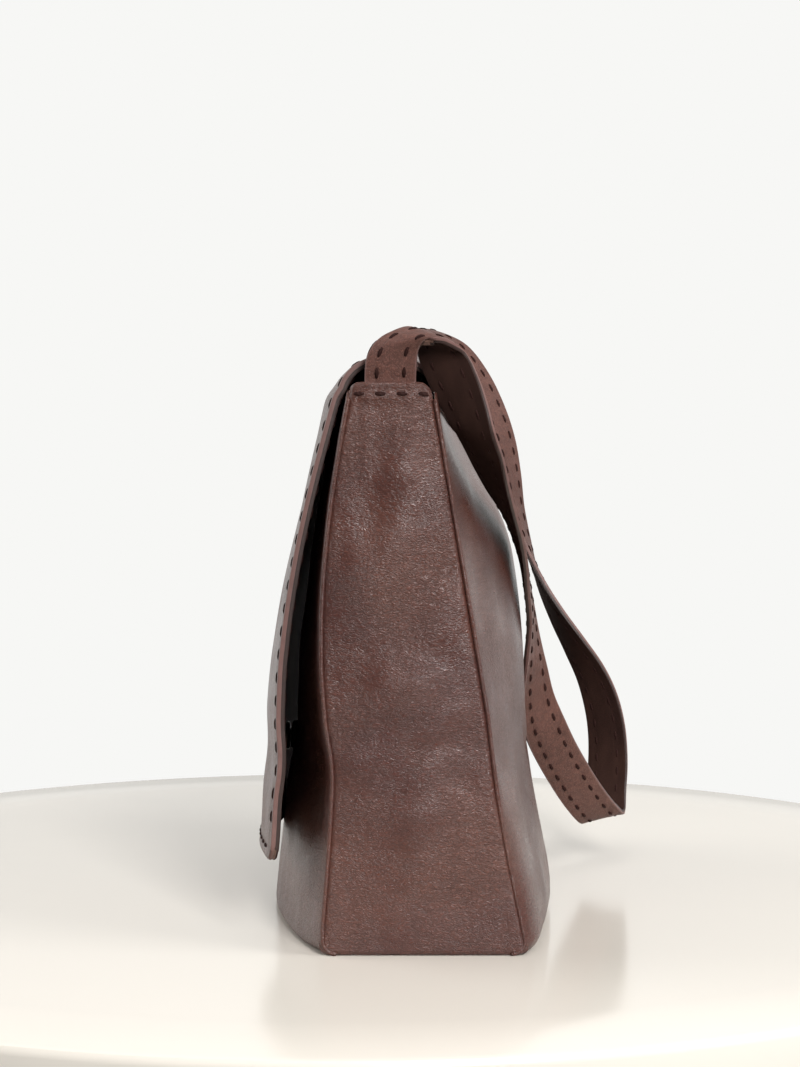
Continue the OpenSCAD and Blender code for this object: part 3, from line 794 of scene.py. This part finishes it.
def gusset_lift(y, z):
    """How far a gusset's hide stands out: the sewn strap end, the hem and its fold, its waves."""
    lift = 0.6 * ease(14.5, 9, np.abs(y - STRAP_Y)) * ease(H - 54, H - 38, z)
    lift += 0.5 * ease(H - 9, H - 7, z) - 0.45 * np.exp(-((z - (H - 3.4)) / 1.1) ** 2)
    return lift + spots(y, z, GUSSET_WAVES)


def build_gusset(way, name):
    """One end of the bag, way being 1 for the right end and -1 for the left.

    The face bows out by 2.5 (1 - s^2) sin(pi h), dips by 1.3 exp(-(d / 1.5)^2) under the rolls
    of both panels, and turns under the bag on a quarter arc of radius 2.6. Its mouth is a
    turned hem whose corners drop by depth (1 - sqrt(1 - t^2)).
    """
    foot, top = 2.6, H - 0.9
    s = np.linspace(-1, 1, 96)
    s = np.sin(np.pi / 2 * s) * 0.4 + s * 0.6
    a, t = np.radians(np.linspace(4, 84, 6)), np.linspace(0, 1, 190) ** 0.98
    level = np.concatenate([foot * (1 - np.cos(a)), lerp(foot, top, t)])
    under = np.concatenate([foot * (1 - np.sin(a)), 0 * t])[:, None]
    z = level[:, None] + 0 * s
    # down at the panels' turned edges the gusset widens to meet their round
    gap = np.sqrt(np.maximum(EDGE_R ** 2 - (EDGE_R - z) ** 2, 0)) - EDGE_R
    gap = np.where(z < EDGE_R, gap, 0)
    y0 = front_edge(z) - 0.9 - 0.7 * gap
    y1 = back_edge(z) - 0.6 + 0.7 * gap + 1.2 * (1 - ease(30, 110, z))
    y = lerp(y0, y1, (s + 1) / 2)
    edge = np.minimum(y - y0, y1 - y)
    drop = 0
    for depth, reach in ((2.2, (y - y0) / 3.5), (4.0, (y1 - y) / 6.0)):
        drop = drop + depth * (1 - np.sqrt(1 - np.clip(1 - reach, 0, 1) ** 2))
    z = z - drop * ease(H - 16, top, z)
    x = HALF + 0.2 + 2.5 * (1 - s ** 2) * np.sin(np.pi * np.clip(z / H, 0, 1))
    x += gusset_lift(y, z) * ease(0, 7, edge) - 1.3 * np.exp(-(edge / 1.5) ** 2) - under
    g = grid(x, y, z)
    ripple = waves(g * [1, 1, 1.5], 5 if way > 0 else 8, 30, 16, 60, 0.8)
    g[..., 0] += ripple * ease(0, 14, edge) * ease(0, 30, z)
    g *= [way, 1, 1]
    out = (way, 0, 0)
    thick = bpy.context.scene.flap_bag_sizes.hide + 0.9 * ease(H - 10, H - 7, z)
    skins = layers("milled_cowhide", "milled_cowhide", "flesh_side")
    put(sheet(name + "_hide", g, thick, skins, out), "bag", "body_leather", name)
    row = int(np.argmin(np.abs(level - (H - 4.4))))
    hem = [(g[row, 1:-1], outward(g, out)[row, 1:-1])]
    thread = sew(name + "_hem_stitches", hem, 9.4, 5.2, width=1.8, sink=0.4, margin=0.2)
    put(thread, "bag", "strap_leather")


def build_gussets():
    """Both ends of the bag."""
    build_gusset(1, "gusset_right")
    build_gusset(-1, "gusset_left")


# ---------------- inside

def inner_wall(side, x, low, high, rows, depth):
    """Grid between two heights that lies depth inside the front or back, and its normals."""
    z = lerp(low + 0 * x, high + 0 * x, np.linspace(0, 1, rows)[:, None])
    g = grid(x, wall_y(side, x, z), z)
    n = outward(g, (0, side, 0))
    return g - n * depth, n


def build_lining():
    """Calf facings at the mouth, and the cloth linings of all four walls and the base.

    The front and back cloths carry seeded waves 0.5 deep; those of the gussets swell by
    0.25 sin(z / 17) sin(pi t), and the base's lies in waves 0.15 sin(x / 21) sin(y / 17).
    """
    cloth = layers("cotton_twill", "cotton_twill", "cotton_twill")
    calf = layers("smooth_calf", "edge_paint", "flesh_side")
    for side, word in ((-1, "front"), (1, "back")):
        x = np.linspace(-1, 1, 90) * INSIDE
        g, n = inner_wall(side, x, CLOTH_FOOT, mouth_z(x) - 27.5, 80, 3.5)
        soft = waves(g, 31 + side, 22, 20, 60, 0.5)[..., None] * ease(0, 20, g[..., 2:])
        g = g - n * (soft * 0.5 + 0.1)
        piece = sheet(word + "_lining_cloth", g, CLOTH_T, cloth, (0, -side, 0))
        put(piece, "bag", "lining_cloth", word + "_lining")
        x = np.linspace(-1, 1, 110) * INSIDE
        g, n = inner_wall(side, x, mouth_z(x) - 28, mouth_z(x) - 0.6, 24, 3.0)
        piece = sheet(word + "_facing_hide", g, 1.2, calf, (0, -side, 0))
        put(piece, "bag", "edge_leather", word + "_facing")
        rows = [(g[i, 2:-2], -n[i, 2:-2]) for i in (2, 20)]
        put(sew(word + "_facing_stitches", rows, **FINE_SEAM), "bag", "edge_leather")
    for way, word in ((1, "right"), (-1, "left")):
        z = np.linspace(CLOTH_FOOT, H - 1, 90)[:, None]
        t = np.linspace(0, 1, 30)
        y = lerp(front_edge(z) + 3.6, back_edge(z) - 3.6, t)
        x = HALF - 6.65 + 0.25 * np.sin(z / 17) * np.sin(np.pi * t)
        g = grid(way * x, y, z)
        piece = sheet("gusset_lining_cloth_" + word, g, CLOTH_T, cloth, (-way, 0, 0))
        put(piece, "bag", "lining_cloth", "gusset_lining_" + word)
    x = np.linspace(-1, 1, 90) * (HALF - 7)
    t = np.linspace(0, 1, 40)[:, None]
    g = grid(x, lerp(front_y(x, EDGE_R) + 3.9, back_y(x, EDGE_R) - 3.9, t), 4.8)
    g[..., 2] += 0.15 * np.sin(g[..., 0] / 21) * np.sin(g[..., 1] / 17)
    piece = sheet("base_lining_cloth", g, CLOTH_T, cloth, (0, 0, 1))
    put(piece, "bag", "lining_cloth", "base_lining")


def build_pocket():
    """Slip pocket on the back lining, standing off by 1.6 sin^2 across times t^2 upwards."""
    low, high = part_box("slip_pocket")
    half = high[0] / MM
    x = np.linspace(-1, 1, 60) * half
    slack = 1.6 * np.sin(np.pi * (x / half + 1) / 2) ** 2 * np.linspace(0, 1, 40)[:, None] ** 2
    g, n = inner_wall(1, x, low[2] / MM, high[2] / MM, 40, (5.6 + slack)[..., None])
    skins = layers("smooth_calf", "edge_paint", "flesh_side")
    piece = put(sheet("slip_pocket_hide", g, 1.0, skins, (0, -1, 0)),
                "bag", "pocket_leather", "slip_pocket")
    lines = np.s_[2:, 2], np.s_[2:, -3], np.s_[2, 2:-2], np.s_[-4, 2:-2]
    put(sew("pocket_stitches", [(g[line], -n[line]) for line in lines], **FINE_SEAM),
        "bag", "pocket_leather")


# ---------------- flap

def flap_low(x):
    """Lower edge of the flap, with a round of radius CORNER at each corner."""
    s = np.clip((np.abs(x) - FLAP_HALF + CORNER) / CORNER, 0, 1)
    return FLAP_FOOT + CORNER * (1 - np.sqrt(1 - s * s))


def seam_z(x):
    """Line where the flap is sewn to the back: 9 lower at mid width."""
    return H - 12 - 9 * crown(x, FLAP_HALF)


def flap_face(fine):
    """Inner face of the whole flap: from the seam on the back, over the mouth, down the front."""
    u = np.linspace(-1, 1, fine)
    x = FLAP_HALF * (0.82 * u + 0.18 * np.sin(np.pi / 2 * u))
    z0 = lerp(seam_z(x), ARCH_Z, np.linspace(0, 0.96, 9)[:, None])
    root = grid(x, back_y(x, z0) + 0.4, z0)
    a = np.radians(np.concatenate([np.linspace(0, 60, 22), np.linspace(63, 180, 36)]))
    z1 = lerp(ARCH_Z + 0 * x, flap_low(x), np.linspace(0, 1, 112)[1:, None])
    g = np.concatenate([root, arch(x, a[:, None]), grid(x, flap_front(x, z1), z1)])
    # three passes of smoothing along the hang, so that the fold runs into both faces
    for _ in range(3):
        g[1:-1] = (g[:-2] + 2 * g[1:-1] + g[2:]) / 4
    return g, x


def build_flap():
    """Outer hide and lining of the flap, each in three lengths, with the stitches.

    With v the length from the seam, both are skived as lerp(0.36, 1, ease(v)) at the root. A
    groove 0.3 exp(-((d - MARGIN) / 1.3)^2) holds the stitches, and seeded waves fade towards
    the edges. The root rides on the bag, the leaf on the flap, and the bend on neither.
    """
    s = bpy.context.scene.flap_bag_sizes
    g, x = flap_face(s.fine)
    out = out_sign(g[60:], (0, -1, 0))
    n = normals(g) * out
    v = lengths(g)
    top = int(np.argmax(g[:, 0, 2]))
    side, end = FLAP_HALF - np.abs(g[..., 0]), v[-1] - v
    groove = (-0.3 * np.exp(-((side - MARGIN) / 1.3) ** 2)
              - 0.3 * np.exp(-((end - MARGIN) / 1.3) ** 2) * (side > 2))
    quiet = ease(0, 30, side) * ease(0, 30, end) * ease(8, 60, v)
    soft = waves(g, 41, 30, 35, 120, 1.1 * s.ripple) * quiet
    skive = lerp(0.36, 1.0, ease(2, 24, v))
    outer = g + n * (FLAP_T * skive + groove + soft)[..., None]
    inner = g + n * (1.85 * skive + soft)[..., None]
    plies = (("flap_hide_", outer, 2.05, "flap_leather", (0.7, 0.1),
              layers("flap_cowhide", "edge_paint", "flesh_side")),
             ("flap_lining_", inner, 1.86, "flap_lining_leather", (0.1, 0.7),
              layers("flesh_side", "edge_paint_deep", "nubuck_calf")))
    # heights at which the leather passes from the sewn root to the bend, and on to the leaf
    cut0, cut1 = (int(np.argmin(np.abs(g[:rows, :, 2].mean(1) - z)))
                  for rows, z in ((60, 247.4), (top, 255.2)))
    parts = (("root", slice(0, cut0 + 1), (True, False), ("flap_root",), ()),
             ("bend", slice(cut0, cut1 + 1), (False, False), (), ()),
             ("leaf", slice(cut1, len(g)), (False, True), ("flap_outer",), ("flap_lining",)))
    for word, rows, rim, *nodes in parts:
        for (name, face, thick, slot, blunt, skins), stands_for in zip(plies, nodes):
            piece = sheet(name + word, face[rows], thick * skive[rows], skins, out, rim, blunt)
            if word == "bend":
                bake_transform(piece)
            else:
                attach(piece, "bag" if word == "root" else "flap")
            if stands_for:
                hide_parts(*stands_for)
    # stitches on both faces, along both sides and the foot, and on the seam at the back
    no = normals(outer) * out
    last = int(np.where(end[:, g.shape[1] // 2] > MARGIN)[0][-1])
    down = np.arange(cut1 + 6, last - 1)
    across = np.where(np.abs(x) < FLAP_HALF - 7)[0]
    lines = [(down, int(np.argmin(np.abs(way * x - FLAP_HALF + MARGIN)))) for way in (1, -1)]
    lines.append((np.abs(end[:, across] - MARGIN).argmin(0), across))
    rows = [(face[line], sign * no[line]) for face, sign in ((outer, 1), (g, -1)) for line in lines]
    put(sew("flap_stitches", rows, width=1.7, sink=0.3), "flap", "flap_leather")
    put(sew("flap_seam_stitches", [(outer[3, 3:-3], no[3, 3:-3])]), "bag", "flap_leather")


# ---------------- strap

# Stations of the strap from its right end to its left: share of the half width, distance
# behind the back, share of the height, and the direction across the strap.
ROUTE = np.array([
    (0.988, -18.5, 1.024, 0.05, 1.00, 0.00), (1.004, -17.5, 1.052, 0.12, 0.98, 0.10),
    (1.017, -14.5, 1.070, 0.28, 0.95, 0.02), (1.020, -9.0, 1.078, 0.50, 0.84, -0.14),
    (1.005, -3.0, 1.083, 0.64, 0.72, -0.28), (0.983, 1.5, 1.072, 0.58, 0.76, -0.26),
    (0.970, 4.0, 1.046, 0.38, 0.92, 0.02), (0.965, 7.5, 1.014, 0.42, 0.85, 0.28),
    (0.962, 11.0, 0.976, 0.55, 0.75, 0.34), (0.960, 14.0, 0.916, 0.66, 0.74, -0.12),
    (0.880, 15.0, 0.876, 0.56, 0.74, -0.36), (0.780, 14.5, 0.832, 0.56, 0.65, -0.50),
    (0.667, 13.5, 0.784, 0.55, 0.54, -0.62), (0.567, 12.5, 0.744, 0.58, 0.40, -0.70),
    (0.480, 10.5, 0.700, 0.64, 0.25, -0.72), (0.380, 8.5, 0.648, 0.74, 0.06, -0.67),
    (0.253, 7.0, 0.576, 0.85, -0.06, -0.50), (0.140, 8.5, 0.496, 0.92, -0.30, -0.25),
    (0.060, 10.5, 0.432, 0.84, -0.53, -0.10), (-0.013, 11.5, 0.368, 0.60, -0.76, -0.24),
    (-0.093, 15.0, 0.304, 0.22, -0.93, -0.30), (-0.187, 21.0, 0.240, 0.00, -0.90, -0.43),
    (-0.307, 30.5, 0.164, 0.00, -0.93, -0.37), (-0.420, 39.5, 0.112, 0.00, -0.96, -0.28),
    (-0.487, 44.5, 0.108, -0.05, -0.97, -0.22), (-0.540, 49.0, 0.150, -0.20, -0.95, -0.20),
    (-0.580, 54.0, 0.208, -0.42, -0.89, -0.15), (-0.620, 57.0, 0.272, -0.55, -0.82, -0.13),
    (-0.660, 57.0, 0.332, -0.65, -0.73, -0.20), (-0.707, 54.0, 0.392, -0.78, -0.58, -0.22),
    (-0.753, 48.5, 0.452, -0.88, -0.43, -0.17), (-0.800, 43.0, 0.516, -0.95, -0.25, -0.15),
    (-0.847, 39.0, 0.588, -0.99, -0.06, -0.08), (-0.900, 38.0, 0.668, -0.98, 0.15, 0.05),
    (-0.950, 38.5, 0.748, -0.93, 0.35, 0.10), (-0.985, 40.5, 0.828, -0.87, 0.45, 0.15),
    (-1.007, 40.0, 0.904, -0.80, 0.52, 0.25), (-1.020, 36.5, 0.976, -0.75, 0.55, 0.33),
    (-1.030, 28.5, 1.048, -0.74, 0.56, 0.33), (-1.030, 16.5, 1.112, -0.78, 0.57, 0.20),
    (-1.027, 5.0, 1.146, -0.96, 0.25, 0.08), (-1.022, -3.5, 1.152, -1.00, 0.02, 0.06),
    (-1.015, -11.0, 1.140, -0.86, 0.50, 0.00), (-1.002, -15.5, 1.104, -0.45, 0.89, -0.05),
    (-0.993, -17.5, 1.066, -0.25, 0.96, 0.00), (-0.984, -18.3, 1.032, -0.10, 1.00, 0.00),
], float)
FOLDS = (4, 41)                      # stations where it turns over above each gusset


def catmull_rom(q, s):
    """Points of a curve through q at the stations s, by the cubic through four neighbours."""
    i = np.minimum(s.astype(int), len(q) - 2)
    t = (s - i)[:, None]
    a, b, c, d = q[np.maximum(i - 1, 0)], q[i], q[i + 1], q[np.minimum(i + 2, len(q) - 1)]
    return (b + t / 2 * (c - a) + t * t / 2 * (2 * a - 5 * b + 4 * c - d)
            + t ** 3 / 2 * (3 * b - a - 3 * c + d))


def strap_line():
    """Middle line of the strap, its directions across and outwards, and its running length.

    A Catmull-Rom curve through the stations, with both ends straight down inside the gussets,
    laid out every 1.5 mm and smoothed by a kernel exp(-u^2). The width is made square to the
    line away from the two folds, where the strap turns over on the slant.
    """
    x, z = ROUTE[:, 0] * HALF, ROUTE[:, 2] * H
    p = grid(x, back_y(x, np.minimum(z, H)) + ROUTE[:, 1], z)
    drop = np.array([45, 24, 11, 0.0])
    tuck = grid(HALF - 3.6, STRAP_Y, H - drop)
    up = np.tile([0, 1.0, 0], (len(tuck), 1))
    p = np.concatenate([tuck, p, (tuck * [-1, 1, 1])[::-1]])
    s = np.linspace(0, len(p) - 1, 1400)
    line = catmull_rom(p, s)
    across = unit(catmull_rom(np.concatenate([up, ROUTE[:, 3:], up]), s))
    run = lengths(line)
    at = np.linspace(0, run[-1], int(run[-1] / 1.5))
    kernel = np.exp(-np.linspace(-2, 2, 7) ** 2)
    kernel /= kernel.sum()

    def soft(path):
        padded = np.pad(resample(path, run, at), ((3, 3), (0, 0)), "edge")
        return np.stack([np.convolve(padded[:, c], kernel, "valid") for c in range(3)], -1)
    line, across = soft(line), unit(soft(across))
    heading = unit(np.gradient(line, axis=0))
    near = np.minimum(*[np.linalg.norm(line - p[len(tuck) + i], axis=1) for i in FOLDS])
    square = ease(12, 50.4, near)[:, None]
    across = unit(across - square * (across * heading).sum(-1, keepdims=True) * heading)
    return line, across, unit(np.cross(across, heading)), at


def build_strap():
    """Outer hide and lining of the strap, with two rows of stitches on each face.

    Both plies plump by 0.3 from their edges, dip by 0.28 exp(-((d - MARGIN) / 1.2)^2) under
    the stitches, and sway by half of 0.12 sin(v / 23) + 0.1 sin(v / 9.7 + 1) along the strap.
    """
    wide = bpy.context.scene.flap_bag_sizes.strap_wide
    line, across, out, at = strap_line()
    s = np.linspace(-1, 1, 17)
    s = 0.7 * s + 0.3 * np.sin(np.pi / 2 * s)
    edge = wide / 2 * (1 - np.abs(s))
    plump = 0.3 * ease(0, 6, edge) - 0.28 * np.exp(-((edge - MARGIN) / 1.2) ** 2)
    sway = (0.12 * np.sin(at / 23) + 0.1 * np.sin(at / 9.7 + 1))[:, None] * 0.5 * ease(0, 8, edge)
    show = slice(28, len(at) - 28)   # rows outside the gussets
    near = int(np.argmin(np.abs(edge[:8] - MARGIN)))
    plies = ((1, "strap", "strap_outer_hide", "strap_cowhide", "edge_paint", 1.6,
              ("strap_outer", "strap_end_right", "strap_end_left")),
             (-1, "strap_lining", "strap_lining_hide", "nubuck_calf", "edge_paint_deep", 1.1,
              ("strap_lining",)))
    threads = []
    for side, word, name, grain, paint, width, nodes in plies:
        g = (line[:, None] + across[:, None] * s[:, None] * wide / 2
             + out[:, None] * (side * (1.38 + plump + sway))[..., None])
        sign = 1 if float((normals(g)[200, 8] * out[200]).sum()) * side > 0 else -1
        skins = layers(grain, paint, "flesh_side")
        piece = sheet(name, g, 1.4, skins, sign, blunt=(0.7, 0.1))
        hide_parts(*nodes)
        rows = [(g[show, col], side * out[show]) for col in (near, len(s) - 1 - near)]
        threads.append((word, rows, width))
        bend(piece)
    for word, rows, width in threads:
        bend(sew(word + "_stitches", rows, 9.6, 5.2, width, 0.3, 1.0))


def bend(piece):
    """A piece of the strap, its transform baked into its mesh."""
    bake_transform(piece)


# ---------------- snap and hidden pieces

def build_snap():
    """Both halves of the magnetic snap, turned from their profiles and leaned with the face.

    The lean is the angle atan(dy / dz) of the face over 14 mm about the snap.
    """
    metal = finish("black_nickel")
    for node, name, body, face in (("snap_socket", "snap_socket_ring", "bag", front_y),
                                   ("snap_stud", "snap_stud_button", "flap", flap_front)):
        low, high = (np.array(c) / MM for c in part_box(node))
        cx, cz = (low[0] + high[0]) / 2, (low[2] + high[2]) / 2
        r, depth = (high[0] - low[0]) / 2, high[1] - low[1]
        if body == "bag":
            t = 3.4
            y = (low[1] + high[1]) / 2 + t / 2
            rim = [(r, 0.35), (r, t - 1.0), (r - 0.35, t - 0.35), (r - 1.1, t), (4.9, t),
                   (4.45, t - 0.25), (4.3, t - 0.8), (4.3, t - 2.2), (0.01, t - 2.2)]
        else:
            t = depth * 0.42
            y = low[1] + depth * 0.26
            rim = [(r, -0.35), (r, 0.9 - t), (r - 0.35, 0.3 - t), (r - 1.1, -t), (3.4, -t),
                   (2.9, -t - 0.3), (2.8, -t - 1.5), (2.3, -t - 2.0), (0.01, -t - 2.0)]
        lean = math.atan2(float(face(0, cz + 7) - face(0, cz - 7)), 14)
        shape = [(0.01, 0.0), (r - 0.3, 0.0)] + rim
        put(turned(name, shape, (cx, y, cz), lean, metal), body, "snap_metal", node)


def build_hidden():
    """Finishes of the board and the washers, which show as the CAD made them."""
    for node, word in (("base_board", "bag_board"), ("socket_washer", "black_nickel"),
                       ("stud_washer", "black_nickel")):
        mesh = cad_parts[node].data
        mesh.materials.clear()
        mesh.materials.append(finish(word))


# ---------------- stage

def lacquered_top():
    """Cream lacquer of the table, its gloss smeared a little by wiping."""
    material, tree = blank("lacquered_top")
    smear = noise(tree, in_metres(tree), 5.0, 3.0)
    colour = linear(bpy.context.scene.flap_bag_colours.table)
    return shaded(material, tree, colour, between(tree, smear, 0.3, 0.7, 0.12, 0.2), IOR=1.45)


def seen_plain(tree, seen, lit, plain, output):
    """Shows one shader to the rays that see it directly and lights the room by the other."""
    mix = add(tree, "ShaderNodeMixShader", {0: seen, 1: lit.outputs[0], 2: plain.outputs[0]})
    add(tree, output, {"Surface": mix.outputs[0]})


def build_table():
    """Round table top: a profile of radius and height turned round a vertical axis."""
    r, drop = 363.0, 18.0
    a = 2 * np.pi * np.arange(256) / 256
    rim = [(0.5, 0), (r * 0.3, 0), (r * 0.6, 0), (r * 0.85, 0), (r - 4, 0), (r - 1.5, -0.6),
           (r - 0.4, -2), (r, -4), (r, -drop), (r - 3, -drop - 1)]
    prof = np.array(rim, float)[..., None]
    rings = grid(prof[:, 0] * np.cos(a) - 45, prof[:, 0] * np.sin(a) - 36, prof[:, 1])
    spun("table_top", rings, lacquered_top(), 30)


def build_wall():
    """Wall far behind the table, shown as plain paper white, and the white of the room."""
    white = linear(bpy.context.scene.flap_bag_colours.wall)
    paper, tree = blank("paper_wall")
    rays = add(tree, "ShaderNodeLightPath").outputs
    lit = add(tree, "ShaderNodeBsdfDiffuse", {"Color": white})
    plain = add(tree, "ShaderNodeEmission", {"Color": white, "Strength": 1.0})
    seen = calc(tree, "MAXIMUM", rays["Is Camera Ray"], rays["Is Glossy Ray"])
    seen_plain(tree, seen, lit, plain, "ShaderNodeOutputMaterial")
    x, half, low, high = -1900, 4000, -700, 3200
    face = np.array([(x, -half, low), (x, half, low), (x, half, high), (x, -half, high)])
    corners = [0, 1, 2, 3, 7, 6, 5, 4, 0, 4, 5, 1, 1, 5, 6, 2, 2, 6, 7, 3, 3, 7, 4, 0]
    points = np.concatenate([face, face + [-20, 0, 0]])
    new_object("paper_wall", points, corners, [4] * 6, [paper])
    world = bpy.data.worlds.new("studio")
    world.use_nodes = True
    tree = world.node_tree
    tree.nodes.clear()
    rays = add(tree, "ShaderNodeLightPath").outputs
    lit = add(tree, "ShaderNodeBackground", {"Color": (1.0, 1.0, 1.0, 1.0), "Strength": 0.13})
    plain = add(tree, "ShaderNodeBackground", {"Color": white, "Strength": 1.0})
    seen_plain(tree, rays["Is Camera Ray"], lit, plain, "ShaderNodeOutputWorld")
    bpy.context.scene.world = world


# Name, place, height of the point it looks at, width, height and watts, in metres.
LAMPS = (
    ("window", (1.70, 0.52, 1.0), 0.13, 0.42, 0.8, 36),
    ("window_right", (0.75, 1.7, 1.2), 0.12, 1.0, 1.0, 22),
    ("window_left", (-0.5, -1.9, 1.0), 0.15, 1.4, 1.4, 25),
    ("ceiling", (0.65, 0.0, 2.1), 0.1, 0.9, 0.8, 8),
)


def build_stage():
    """Table, wall, lamps and camera. Each lamp looks at a point on the origin's upright."""
    build_table()
    build_wall()
    scene = bpy.context.scene
    for name, where, aim, wide, tall, watts in LAMPS:
        data = bpy.data.lights.new(name, "AREA")
        data.shape = "RECTANGLE"
        data.size, data.size_y, data.energy = wide, tall, watts
        obj = bpy.data.objects.new(name, data)
        scene.collection.objects.link(obj)
        obj.location = where
        look = Vector((0.0, 0.0, aim)) - Vector(where)
        obj.rotation_euler = look.to_track_quat("-Z", "Y").to_euler()
    data = bpy.data.cameras.new("camera")
    data.sensor_fit = "VERTICAL"
    data.sensor_height, data.sensor_width = 36.0, 27.0
    data.lens = 75.9
    data.clip_start, data.clip_end = 0.05, 30
    camera = bpy.data.objects.new("camera", data)
    scene.collection.objects.link(camera)
    camera.location = (1.125, -0.0108, 0.221)
    camera.rotation_euler = (math.radians(90 - 2.13), 0.0, math.radians(90))
    scene.camera = camera
    scene.view_settings.view_transform = "Standard"


# ---------------- operators and panel

class FLAPBAG_OT_panels(bpy.types.Operator):
    """Front and back panels with their seam rolls, and the underside"""
    bl_idname = "flapbag.panels"
    bl_label = "Panels and base"

    def execute(self, context):
        build_panels()
        return {"FINISHED"}


class FLAPBAG_OT_gussets(bpy.types.Operator):
    """Both end gussets with their hems and hem stitches"""
    bl_idname = "flapbag.gussets"
    bl_label = "Gussets"

    def execute(self, context):
        build_gussets()
        return {"FINISHED"}


class FLAPBAG_OT_lining(bpy.types.Operator):
    """Facings and cloth lining"""
    bl_idname = "flapbag.lining"
    bl_label = "Facings and lining"

    def execute(self, context):
        build_lining()
        return {"FINISHED"}


class FLAPBAG_OT_pocket(bpy.types.Operator):
    """Slip pocket on the back lining"""
    bl_idname = "flapbag.pocket"
    bl_label = "Slip pocket"

    def execute(self, context):
        build_pocket()
        return {"FINISHED"}


class FLAPBAG_OT_flap(bpy.types.Operator):
    """Both layers of the flap, from its seam to its foot, with its stitches"""
    bl_idname = "flapbag.flap"
    bl_label = "Flap"

    def execute(self, context):
        build_flap()
        return {"FINISHED"}


class FLAPBAG_OT_strap(bpy.types.Operator):
    """Both layers of the strap with its stitches"""
    bl_idname = "flapbag.strap"
    bl_label = "Strap"

    def execute(self, context):
        build_strap()
        return {"FINISHED"}


class FLAPBAG_OT_snap(bpy.types.Operator):
    """Magnetic snap, and the finishes of the pieces sealed inside"""
    bl_idname = "flapbag.snap"
    bl_label = "Snap and hidden pieces"

    def execute(self, context):
        build_snap()
        build_hidden()
        return {"FINISHED"}


class FLAPBAG_OT_stage(bpy.types.Operator):
    """Table, wall, lamps and camera"""
    bl_idname = "flapbag.stage"
    bl_label = "Stage"

    def execute(self, context):
        build_stage()
        return {"FINISHED"}


STEPS = (FLAPBAG_OT_panels, FLAPBAG_OT_gussets, FLAPBAG_OT_lining, FLAPBAG_OT_pocket,
         FLAPBAG_OT_flap, FLAPBAG_OT_strap, FLAPBAG_OT_snap, FLAPBAG_OT_stage)


class FLAPBAG_PT_panel(bpy.types.Panel):
    """Lists the sizes, the colours and the steps"""
    bl_idname = "FLAPBAG_PT_panel"
    bl_label = "Flap Bag"
    bl_space_type = "VIEW_3D"
    bl_region_type = "UI"
    bl_category = "Flap Bag"

    def draw(self, context):
        for group in (context.scene.flap_bag_sizes, context.scene.flap_bag_colours):
            box = self.layout.box()
            for key in group.__annotations__:
                box.prop(group, key)
        for step in STEPS:
            self.layout.operator(step.bl_idname)


CLASSES = (FlapBagSizes, FlapBagColours) + STEPS + (FLAPBAG_PT_panel,)


def register():
    """Adds the classes, and the two groups of settings to the scene."""
    for cls in CLASSES:
        bpy.utils.register_class(cls)
    bpy.types.Scene.flap_bag_sizes = PointerProperty(type=FlapBagSizes)
    bpy.types.Scene.flap_bag_colours = PointerProperty(type=FlapBagColours)


def unregister():
    """Takes all of it away again."""
    del bpy.types.Scene.flap_bag_colours
    del bpy.types.Scene.flap_bag_sizes
    for cls in reversed(CLASSES):
        bpy.utils.unregister_class(cls)


def main():
    """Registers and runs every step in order."""
    register()
    for step in STEPS:
        group, name = step.bl_idname.split(".")
        if getattr(getattr(bpy.ops, group), name)() != {"FINISHED"}:
            raise RuntimeError(step.bl_label + " did not finish")
    bpy.context.view_layer.update()


if __name__ == "__main__":
    main()
